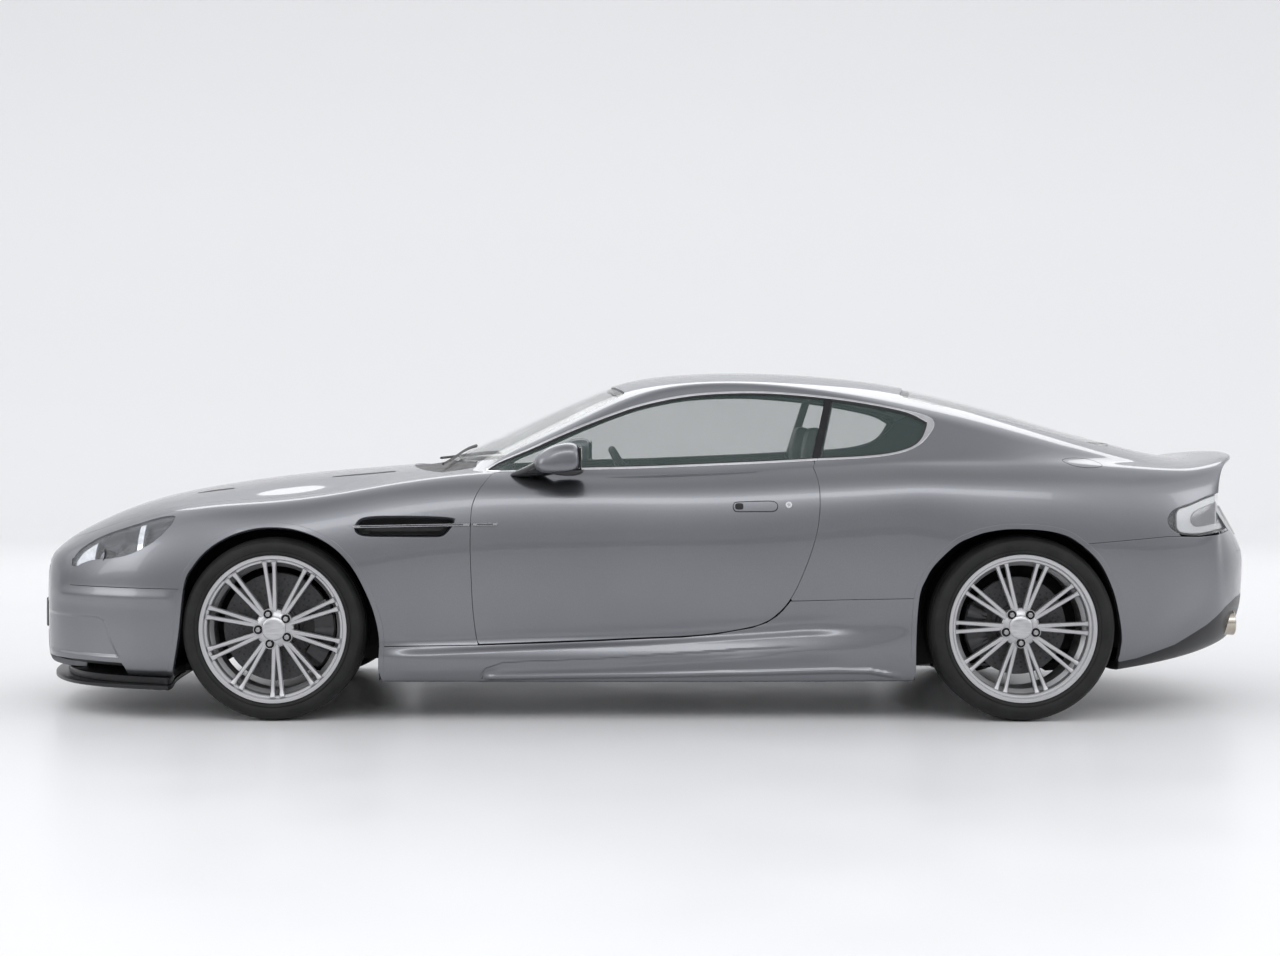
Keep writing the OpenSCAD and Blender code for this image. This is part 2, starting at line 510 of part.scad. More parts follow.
// The grilles fill their openings and are closed behind.
upper_grille = [415 * ky, 412 * kz, 556 * kz];
lower_grille = [440 * ky, 196 * kz, 286 * kz];
module grille_box(g, x1, cut = 0) slab(-2500, x1, -g[0] + cut, g[0] - cut, g[1] + cut, g[2] - cut);
module grille() for (g = [upper_grille, lower_grille]) shape() intersection() {
    difference() { hull_solid(9); hull_solid(70); }
    grille_box(g, -2200 * kx, panel_gap);
}

diffuser_line = body_xz([[1500, 60], [1500, 205], [1702, 205], [1800, 222], [1950, 268], [2080, 336],
    [2170, 398],
    [2240, 425], [2420, 440], [2420, 60]]);
module rear_bumper() shape() difference() {
    intersection() {
        difference() { hull_solid(0); hull_solid(skin + 6); }
        side(tail_bumper, -1200, 1200, -panel_gap);
        slab(1500 * kx, 2500, -1200, 1200, 0, 1500);
    }
    both() {
        above(lid_line, lid_bottom - shut_gap, 1500, grow = shut_gap);
        side(tail_line, 0, 1200, panel_gap);
    }
    side(diffuser_line, -1200, 1200, panel_gap);
    wheel_room();
}
module diffuser() shape() difference() {
    intersection() {
        difference() { hull_solid(0); hull_solid(skin + 6); }
        side(diffuser_line, -1200, 1200);
    }
    for (s = [-1, 1]) translate([2080 * kx, s * 520 * ky, 320 * kz]) rotate([0, 90, 0])
        cylinder(r = pipe_r + 7, h = 400);
    wheel_room();
}
pipe_r = 46;
module exhaust() both() translate([0, 520 * ky, 320 * kz]) rotate([0, 90, 0]) difference() {
    union() {
        translate([0, 0, 2025 * kx]) cylinder(r = pipe_r, h = 260 * kx);
        translate([0, 0, 1790 * kx]) cylinder(r = 80, h = 240 * kx);
        slab(-429.6 * kz + 320 * kz, -70, -8, 8, 1990 * kx, 2020 * kx);
    }
    translate([0, 0, 2100 * kx]) cylinder(r = pipe_r - 4, h = 300);
}

// Bonnet and boot lid with their hinge arms.
lid_x = -650 * kx;
lid_z = 880 * kz;
boot_x = 1640 * kx;
boot_z = 820 * kz;
arm_y = 606 * ky;
goose_y = 430 * ky;
module bonnet() {
    shape() intersection() {
        difference() {
            hull_solid(0);
            hull_solid(skin);
            intersection() {
                hull_solid(8);
                both() slab(-830 * kx, -650 * kx, 630 * ky, 740 * ky, 800 * kz, 1100);
            }
        }
        both() above(bonnet_line, 540 * kz, 1500);
    }
    both() difference() {
        union() {
            translate([0, arm_y + 6, 0]) rotate([90, 0, 0]) linear_extrude(12) polygon([[lid_x,
                lid_z - 14],
                [lid_x, lid_z + 14], [-905 * kx, 872 * kz], [-905 * kx, 842 * kz]]);
            translate([lid_x, arm_y + 6, lid_z]) rotate([90, 0, 0]) cylinder(r = 15, h = 12);
        }
        translate([lid_x, arm_y + 20, lid_z]) rotate([90, 0, 0]) cylinder(r = lid_pin_r + pin_gap,
            h = 40);
    }
}
lid_bottom = 600 * kz;
goose_r = 332;
module boot_lid() {
    shape() intersection() {
        difference() {
            hull_solid(0);
            hull_solid(skin - 2);
            intersection() { hull_solid(5); slab(1800 * kx, 1902 * kx, -600, 600, 800 * kz, 1500); }
        }
        both() above(lid_line, 560 * kz, 1500);
        slab(1800 * kx, 2500, -600, 600, lid_bottom, 1500);
    }
    both() shape() intersection() {
        hull_solid(skin - 1.7);
        translate([boot_x, goose_y + 6, boot_z]) rotate([90, 0, 0]) difference() {
            union() {
                cylinder(r = 15, h = 12);
                intersection() {
                    difference() {
                        cylinder(r = goose_r + 12, h = 12);
                        translate([0, 0, -1]) cylinder(r = goose_r - 12, h = 14);
                    }
                    rotate(-52) translate([0, 0, -1]) cube([400, 400, 14]);
                    rotate(-62) translate([0, 0, -1]) cube([400, 400, 14]);
                }
                rotate(-52) cube([goose_r, 24, 12]);
            }
            translate([0, 0, -1]) cylinder(r = lid_pin_r + pin_gap, h = 14, $fn = 96);
        }
    }
}
module cowl() {
    shape() difference() {
        intersection() {
            difference() { hull_solid(glass + 0.4); hull_solid(glass + 22); }
            slab(-1000 * kx, -652.4 * kx, -636 * ky, 636 * ky, 870 * kz, 1100);
        }
        both() {
            above(bonnet_line, grow = shut_gap);
            above(screen_top, 500, 1500, -28);
            slab(-860 * kx, -620 * kx, arm_y - 14, arm_y + 14, 0, 1200);
        }
    }
}

jack_x = [-820, 800];
module floor_pan() {
    difference() {
        union() {
            slab(-905 * kx, 930 * kx, -in_y + 0.4, in_y - 0.4, 153 * kz, 153 * kz + floor_t);
            slab(-900 * kx, 920 * kx, -seat_y + seat_w / 2 + 4, seat_y - seat_w / 2 - 4, 153 * kz,
                400 * kz);
            slab(-905 * kx, -880 * kx, -600 * ky, 600 * ky, 153 * kz, 832 * kz);
            slab(905 * kx, 930 * kx, -590 * ky, 590 * ky, 153 * kz, 880 * kz);
            slab(920 * kx, 1900 * kx, -600 * ky, 600 * ky, 430 * kz, 450 * kz);
            slab(1900 * kx, 2120 * kx, -560 * ky, 560 * ky, 430 * kz, 450 * kz);
            slab(905 * kx, 1480 * kx, -560 * ky, 560 * ky, 864 * kz, 880 * kz);
            both() for (x = jack_x) slab(x * kx - 35, x * kx + 35, 540 * ky, 610 * ky, 143 * kz,
                160 * kz);
            both() {
                slab(-2210 * kx, -900 * kx, 390 * ky, 450 * ky, 300 * kz, 400 * kz);
                slab(-905 * kx, -830 * kx, 622 * ky, 638 * ky, 153 * kz, 825 * kz);
                slab(-830 * kx, -700 * kx, 622 * ky, 638 * ky, 153 * kz, 860 * kz);
                slab(-700 * kx, -632 * kx, 622 * ky, 638 * ky, 780 * kz, 860 * kz);
                slab(-651.6 * kx, -632 * kx, 622 * ky, 638 * ky, 780 * kz, 892 * kz);
                slab(-905 * kx, -880 * kx, 590 * ky, 630 * ky, 153 * kz, 832 * kz);
                slab(2060 * kx, 2190 * kx, 330 * ky, 400 * ky, 300 * kz, 435 * kz);
                translate([lid_x, arm_y + 20, lid_z]) rotate([90, 0, 0]) cylinder(r = lid_pin_r, h = 34);
                slab(boot_x - 20, boot_x + 20, goose_y - 20, goose_y - 8, 440 * kz, boot_z + 20);
                translate([boot_x, goose_y + 10, boot_z]) rotate([90, 0, 0]) cylinder(r = lid_pin_r,
                    h = 24);
            }
        }
        slab(-910 * kx, 940 * kx, -96, 96, 100, 376 * kz);
        both() translate([boot_x, 0, 0]) slab(-30, 360, goose_y - 7, goose_y + 14, 400 * kz, 460 * kz);
    }
}
module engine_block() slab(-1700 * kx, -960 * kx, -300 * ky, 300 * ky, 300 * kz, 700 * kz);
module dashboard() {
    difference() {
        side(body_xz([[-640, 620], [-640, 850], [-560, 892], [-420, 905], [-300, 880], [-250, 800],
            [-290, 700],
            [-420, 620]]), -600 * ky, 600 * ky);
        translate([wheel_x, -seat_y, wheel_z]) rotate([0, 60, 0]) translate([0, 0,
            -1200]) cylinder(r = 34.3, h = 1200);
    }
    slab(-480 * kx, 560 * kx, -100, 100, 400 * kz + 0.4, 560 * kz);
    slab(-480 * kx, -425 * kx, -100, 100, 560 * kz, 620 * kz - 0.4);
}
wheel_x = -60 * kx;
wheel_z = 842 * kz;
module column_tube() translate([wheel_x, -seat_y, wheel_z]) rotate([0, 60, 0]) difference() {
    translate([0, 0, -430]) cylinder(r = 34, h = 350);
    translate([0, 0, -400]) cylinder(r = 12 + pin_gap, h = 400);
}
module steering_wheel() translate([wheel_x, -seat_y, wheel_z]) rotate([0, 60, 0]) {
    rotate_extrude($fn = 64) translate([steering_r - 16, 0]) circle(r = 15);
    translate([0, 0, -40]) cylinder(r = 62, h = 36);
    translate([0, 0, -380]) cylinder(r = 12, h = 345);
    for (a = [0, 90, 270]) rotate(a) slab(-steering_r + 16, 0, -20, 20, -16, -6);
}
seat_x = 0;
module seat(y) translate([seat_x, y, 0]) {
    side(body_xz([[-20, 300], [-20, 400], [40, 440], [420, 400], [470, 380], [560, 300]]), -seat_w / 2,
        seat_w / 2);
    side(concat(body_xz([[561, 300], [612, 330]]), [[650 * kx, 380 * kz + seat_back_h], [600 * kx,
        480 * kz + seat_back_h],
        [548 * kx, 480 * kz + seat_back_h], [505 * kx, 400 * kz + seat_back_h]], body_xz([[452, 470],
            [471, 380]])),
        -seat_w / 2 + 30, seat_w / 2 - 30);
    slab(20 * kx, 520 * kx, -seat_w / 2 + 40, seat_w / 2 - 40, 153 * kz + floor_t + 0.4, 300 * kz - 0.4);
}
module rear_seat(y) side(body_xz([[660, 176], [660, 420], [800, 400], [800, 780], [890, 800], [904.6,
    780],
    [904.6, 176]]), y - 180, y + 180);

rail_y = [390 * ky, 450 * ky];
module front_subframe() {
    slab(fx - 60, fx + 60, -rail_y[1], rail_y[1], 200 * kz, 300 * kz - 0.4);
    both() {
        slab(fx - 30, fx + 30, rail_y[1] - 10, king_y, 178, 214);
        slab(fx - 30, fx + 30, rail_y[1] - 40, rail_y[1], 178, 250 * kz);
        translate([fx, king_y, 178]) cylinder(r = 30, h = 36);
        translate([fx, king_y, 178]) cylinder(r = king_pin_r, h = 70);
        slab(fx - 30, fx + 30, rail_y[1] + 0.4, king_y, fz + 146, fz + 170);
        translate([fx, king_y, fz + 146]) cylinder(r = 28, h = 24);
        translate([fx, king_y, fz + 112]) cylinder(r = king_pin_r, h = 50);
        slab(fx - 30, fx + 30, rail_y[1] + 0.4, 488 * ky, 350 * kz, fz + 170);
    }
}
module caliper(r, a, b) intersection() {
    rotate([90, 0, 0]) cylinder(r = r + 20, h = 400, center = true);
    difference() {
        slab(102, 260, a, b, -64, 64);
        rotate([90, 0, 0]) translate([0, 0, -9]) cylinder(r = r + 6, h = 46);
    }
}
module knuckle() difference() {
    union() {
        slab(fx - 34, fx + 34, king_y - 30, king_y + 24, 216, fz + 144);
        translate([fx, fy + 60, fz]) rotate([90, 0, 0]) cylinder(r = stub_r, h = 60 + king_offset);
        slab(fx + 30, fx + 150, king_y - 14, king_y + 20, fz - 40, fz + 40);
        translate([fx, fy, fz]) caliper(front_disc_r, king_y - 14 - fy, 36);
    }
    translate([fx, king_y, 200]) cylinder(r = king_pin_r + pin_gap, h = 49);
    translate([fx, king_y, fz + 111.4]) cylinder(r = king_pin_r + pin_gap, h = 60);
}
module rear_subframe() {
    slab(rx - 60, rx + 60, -560 * ky, 560 * ky, rz - 60, 430 * kz - 0.4);
    both() {
        slab(rx - 40, rx + 40, 540 * ky, ry - 66, rz - 50, rz + 50);
        translate([rx, ry + 60, rz]) rotate([90, 0, 0]) cylinder(r = stub_r, h = 160);
        slab(rx - 150, rx - 30, ry - 96, ry - 66, rz - 40, rz + 40);
        translate([rx, ry, rz]) mirror([1, 0, 0]) caliper(rear_disc_r, -88, 36);
    }
}

// Wheels, drawn about their own middle with the outer face towards +Y.
module tyre(r, w) rotate([90, 0, 0]) rotate_extrude($fn = 96) polygon([[rim_r - 13, -w / 2 + 26],
    [rim_r + 0.6, -w / 2 + 16.6], [rim_r + 0.6, -w / 2 + 8], [r - 40, -w / 2], [r - 18, -w / 2 + 5],
        [r - 6, -w / 2 + 20], [r, -w / 2 + 50],
    [r, w / 2 - 50], [r - 6, w / 2 - 20], [r - 18, w / 2 - 5], [r - 40, w / 2], [rim_r + 0.6, w / 2 - 8],
    [rim_r + 0.6, w / 2 - 16.6], [rim_r - 13, w / 2 - 26]]);
module rim(w) {
    b = w / 2 - 14;
    rotate([90, 0, 0]) rotate_extrude($fn = 96) polygon([[rim_r, -b - 6], [rim_r, -b + 2],
        [rim_r - 14.3, -b + 10], [rim_r - 14.3, -b + 45], [rim_r - 34, -b + 60], [rim_r - 34, b - 60],
        [rim_r - 14.3, b - 45], [rim_r - 14.3, b - 10], [rim_r, b - 2], [rim_r, b + 6], [rim_r - 22,
            b + 6],
        [rim_r - 26, b - 50], [rim_r - 44, b - 66], [rim_r - 44, -b + 66], [rim_r - 26, -b + 44],
        [rim_r - 18, -b - 6]]);
    translate([0, 88, 0]) rotate([90, 0, 0]) difference() {
        cylinder(r = 74, h = 60);
        translate([0, 0, 25]) cylinder(r = stub_r + pin_gap, h = 60);
        for (i = [0:4]) rotate(i * 72 + 36) translate([57.15, 0, -1]) cylinder(r = 9, h = 20);
    }
    for (i = [0:spokes - 1], s = [-1, 1]) rotate([0, i * 360 / spokes + s * 5.5, 0])
        translate([0, 66, 70]) rotate([-4, 0, 0]) translate([-5.5, -20, 0]) cube([11, 26, rim_r - 94]);
}
module disc(r) {
    rotate([90, 0, 0]) difference() {
        union() {
            translate([0, 0, -27.6]) cylinder(r = 82, h = 56.6);
            translate([0, 0, -1]) cylinder(r = r, h = 30);
        }
        translate([0, 0, -30]) cylinder(r = stub_r + 1, h = 80);
        translate([0, 0, -15]) cylinder(r = 74, h = 60);
    }
}

module mirror_pod() shape() {
    hull() {
        translate([-345 * kx, 912 * ky, 962 * kz]) resize([190, 176, 116]) sphere(r = 80, $fn = 20);
        slab(-282 * kx, -268 * kx, 850 * ky, 985 * ky, 915 * kz, 1012 * kz);
    }
    difference() {
        hull() {
            slab(-440 * kx, -360 * kx, 850 * ky, 880 * ky, 915 * kz, 930 * kz);
            slab(-500 * kx, -400 * kx, 785 * ky, 800 * ky, 880 * kz, 905 * kz);
        }
        hull_solid(-0.3);
    }
}
module plate_front() shape() difference() {
    union() {
        slab(-2372 * kx, -2364 * kx, -260, 260, 290 * kz, 404 * kz);
        slab(-2366 * kx, -2300 * kx, -200, 200, 300 * kz, 396 * kz);
    }
    hull_solid(-panel_gap);
}
module plate_rear() shape() intersection() {
    difference() { hull_solid(-6); hull_solid(-panel_gap); }
    slab(2150 * kx, 2400 * kx, -260, 260, 650 * kz, 762 * kz);
}

color(black) floor_pan();
color(paint) { front_wing(); door_hinge_pins(); }  // front_wing_right
left() color(paint) { front_wing(); door_hinge_pins(); }  // front_wing_left
color(paint) rear_quarter();  // rear_quarter_right
left() color(paint) rear_quarter();  // rear_quarter_left
color(paint) roof();
both() color(paint) sill();  // side_sills
color(paint) front_bumper();
color(black) splitter();
color(metal) grille();
color(paint) rear_bumper();
color(black) diffuser();
color(pane) windscreen();
color(pane) rear_window();
both() color(pane) quarter_window();  // quarter_windows
both() color(pane) headlamp();  // headlamps
both() color(pane) tail_lamp();  // tail_lamps
color(black) cowl();  // cowl_panel
color(metal) engine_block();
color(black) { dashboard(); column_tube(); }
color(hide) { seat(-seat_y); seat(seat_y); }  // front_seats
color(hide) { rear_seat(-330); rear_seat(330); }  // rear_seats
color(metal) exhaust();
color(steel) front_subframe();
color(steel) rear_subframe();
color(paint) { door_shell(); door_knuckles(); }  // door_right
left() color(paint) { door_shell(); door_knuckles(); }  // door_left
color(pane) door_window();  // door_glass_right
left() color(pane) door_window();  // door_glass_left
color(paint) mirror_pod();  // mirror_right
left() color(paint) mirror_pod();  // mirror_left
color(metal) plate_front();  // number_plate_front
color(metal) plate_rear();  // number_plate_rear
color(paint) bonnet();
color(paint) boot_lid();
color(black) steering_wheel();
color(steel) knuckle();  // knuckle_right
left() color(steel) knuckle();  // knuckle_left
module at_front() translate([fx, fy, fz]) children();
module at_rear() translate([rx, ry, rz]) children();
color(black) at_front() tyre(front_tyre_r, front_tyre_w);  // tyre_front_right
color(black) left() at_front() tyre(front_tyre_r,  // tyre_front_left
    front_tyre_w);
color(black) at_rear() tyre(rear_tyre_r, rear_tyre_w);  // tyre_rear_right
color(black) left() at_rear() tyre(rear_tyre_r,  // tyre_rear_left
    rear_tyre_w);
color(metal) at_front() rim(front_tyre_w);  // rim_front_right
color(metal) left() at_front() rim(front_tyre_w);  // rim_front_left
color(metal) at_rear() rim(rear_tyre_w);  // rim_rear_right
color(metal) left() at_rear() rim(rear_tyre_w);  // rim_rear_left
color(steel) at_front() disc(front_disc_r);  // brake_disc_front_right
color(steel) left() at_front() disc(front_disc_r);  // brake_disc_front_left
color(steel) at_rear() disc(rear_disc_r);  // brake_disc_rear_right
color(steel) left() at_rear() disc(rear_disc_r);  // brake_disc_rear_left
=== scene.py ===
# %% [markdown]
# # A two-door coupe, rebuilt as a set of pieces
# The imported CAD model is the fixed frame: every object below is in metres, in the same axes.
# The car faces -X, its right side is +Y, and the ground is z = 0.
# Each step says what the piece is on a real car and why it is made the way it is.

# %% Load the frame
import json
import math

import bpy
import bmesh
import numpy as np
from mathutils import Matrix, Vector
from mathutils.bvhtree import BVHTree

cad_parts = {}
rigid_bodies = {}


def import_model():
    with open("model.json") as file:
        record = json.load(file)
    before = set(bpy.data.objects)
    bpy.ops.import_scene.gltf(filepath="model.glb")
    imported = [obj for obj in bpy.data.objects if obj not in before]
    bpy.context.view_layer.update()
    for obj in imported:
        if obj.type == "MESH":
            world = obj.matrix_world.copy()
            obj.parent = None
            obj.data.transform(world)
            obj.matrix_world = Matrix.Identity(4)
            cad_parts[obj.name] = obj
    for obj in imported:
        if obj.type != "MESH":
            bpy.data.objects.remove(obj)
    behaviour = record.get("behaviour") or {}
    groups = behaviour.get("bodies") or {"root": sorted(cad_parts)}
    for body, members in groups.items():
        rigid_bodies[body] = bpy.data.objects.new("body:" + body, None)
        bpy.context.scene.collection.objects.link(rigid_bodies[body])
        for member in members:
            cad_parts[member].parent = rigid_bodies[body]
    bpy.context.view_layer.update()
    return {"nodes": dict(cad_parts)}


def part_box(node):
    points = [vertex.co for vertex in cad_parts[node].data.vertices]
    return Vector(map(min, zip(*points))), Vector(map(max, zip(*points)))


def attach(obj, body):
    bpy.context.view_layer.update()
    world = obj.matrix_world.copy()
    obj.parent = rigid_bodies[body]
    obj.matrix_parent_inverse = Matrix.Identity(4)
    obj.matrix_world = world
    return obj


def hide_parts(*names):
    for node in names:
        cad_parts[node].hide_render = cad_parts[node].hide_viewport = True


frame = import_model()
print("nodes in the frame:", len(frame["nodes"]))

# %% [markdown]
# ## Camera, floor and light
# The camera stands far to the side with a long lens, level, and a little shift keeps the car high
# in the picture without tilting. The floor sweeps up into a pale wall, as in a studio, and large
# soft lamps overhead and in front draw the long bright bands that show a body's shape.

# %% Camera
camera_data = bpy.data.cameras.new("camera")
camera = bpy.data.objects.new("camera", camera_data)
bpy.context.scene.collection.objects.link(camera)
camera.location = (-0.0335, -9.2, 1.105)
camera.rotation_euler = (math.radians(90), 0, 0)
camera_data.sensor_width = 36
camera_data.lens = 63.860625
camera_data.shift_y = -0.04609375
camera_data.clip_end = 200
bpy.context.scene.camera = camera

# %% Helpers for objects
SIDES = (("right", 1), ("left", -1))

def deselect():
    bpy.ops.object.select_all(action="DESELECT")

def pick(obj):
    """Select one object alone and make it active."""
    deselect()
    obj.select_set(True)
    bpy.context.view_layer.objects.active = obj
    return obj

def new_object(name, mesh):
    obj = bpy.data.objects.new(name, mesh)
    bpy.context.scene.collection.objects.link(obj)
    return obj

def applied(obj, kind, **settings):
    """Add one modifier, set it up and apply it."""
    modifier = obj.modifiers.new(kind.lower(), kind)
    for key, value in settings.items():
        setattr(modifier, key, value)
    pick(obj)
    bpy.ops.object.modifier_apply(modifier=modifier.name)
    return obj

def finish_piece(obj, name, body, mat, nodes=(), smooth=30):
    """Name a piece, give it its finish, and say what it rides on and stands for."""
    obj.name = name
    obj.data.name = name
    if mat is not None:
        obj.data.materials.clear()
        obj.data.materials.append(mat)
    if smooth is not None:
        pick(obj)
        bpy.ops.object.shade_smooth_by_angle(angle=math.radians(smooth))
    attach(obj, body)
    if nodes:
        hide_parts(*nodes)
    return obj

def mesh_piece(name, points, faces, normals=None):
    """A mesh from points and faces, smooth, with the given normal at each point."""
    mesh = bpy.data.meshes.new(name)
    mesh.from_pydata([tuple(p) for p in points], [], [tuple(f) for f in faces])
    mesh.polygons.foreach_set("use_smooth", [True] * len(mesh.polygons))
    mesh.update()
    if normals is not None:
        mesh.normals_split_custom_set_from_vertices([tuple(n) for n in normals])
    return new_object(name, mesh)

# %% Helpers for materials
def nodes_of(name):
    """A fresh material with its tree, its shader and object coordinates."""
    mat = bpy.data.materials.new(name)
    mat.use_nodes = True
    tree = mat.node_tree
    shader = tree.nodes["Principled BSDF"]
    coord = tree.nodes.new("ShaderNodeTexCoord")
    return mat, tree, shader, coord.outputs["Object"]

def noise_node(tree, where, scale, detail=3.0, rough=0.5, stretch=(1, 1, 1)):
    mapping = tree.nodes.new("ShaderNodeMapping")
    mapping.inputs["Scale"].default_value = stretch
    tree.links.new(where, mapping.inputs["Vector"])
    n = tree.nodes.new("ShaderNodeTexNoise")
    n.inputs["Scale"].default_value = scale
    n.inputs["Detail"].default_value = detail
    n.inputs["Roughness"].default_value = rough
    tree.links.new(mapping.outputs["Vector"], n.inputs["Vector"])
    return n.outputs["Fac"]

def spread(tree, fac, low, high, a=0.3, b=0.7):
    """Map a 0..1 pattern onto a range of numbers."""
    m = tree.nodes.new("ShaderNodeMapRange")
    m.inputs["From Min"].default_value = a
    m.inputs["From Max"].default_value = b
    m.inputs["To Min"].default_value = low
    m.inputs["To Max"].default_value = high
    tree.links.new(fac, m.inputs["Value"])
    return m.outputs["Result"]

def tint(tree, fac, dark, light, a=0.3, b=0.7):
    ramp = tree.nodes.new("ShaderNodeValToRGB")
    ramp.color_ramp.elements[0].position = a
    ramp.color_ramp.elements[0].color = (*dark, 1)
    ramp.color_ramp.elements[1].position = b
    ramp.color_ramp.elements[1].color = (*light, 1)
    tree.links.new(fac, ramp.inputs["Fac"])
    return ramp.outputs["Color"]

def bump(tree, shader, height, strength, distance):
    b = tree.nodes.new("ShaderNodeBump")
    b.inputs["Strength"].default_value = strength
    b.inputs["Distance"].default_value = distance
    tree.links.new(height, b.inputs["Height"])
    tree.links.new(b.outputs["Normal"], shader.inputs["Normal"])
    return b

def surface_finish(name, dark, light, rough, metallic=0.0, grain=60, grain_depth=0.0, grain_size=400,
                   stretch=(1, 1, 1), coat=0.0, sheen=0.0, specular=0.5):
    """A procedural finish: tone that drifts, roughness that varies, and a fine grain in relief."""
    mat, tree, shader, where = nodes_of(name)
    drift = noise_node(tree, where, grain, 4, 0.6, stretch)
    tree.links.new(tint(tree, drift, dark, light), shader.inputs["Base Color"])
    tree.links.new(spread(tree, drift, rough[0], rough[1]), shader.inputs["Roughness"])
    shader.inputs["Metallic"].default_value = metallic
    shader.inputs["Coat Weight"].default_value = coat
    shader.inputs["Sheen Weight"].default_value = sheen
    shader.inputs["Specular IOR Level"].default_value = specular
    if grain_depth:
        bump(tree, shader, noise_node(tree, where, grain_size, 2, 0.5, stretch), 0.6, grain_depth)
    return mat
# %% [markdown]
# ## The body surface
# A car body is drawn as sections from nose to tail. Each row below is one section: its place along
# the car, how far it bows with its width, and 17 points from the bottom middle to the top middle,
# in millimetres. A smooth spline through all of them gives one skin, from which every panel is cut,
# so light runs on across the shut lines as it does on real pressed panels.

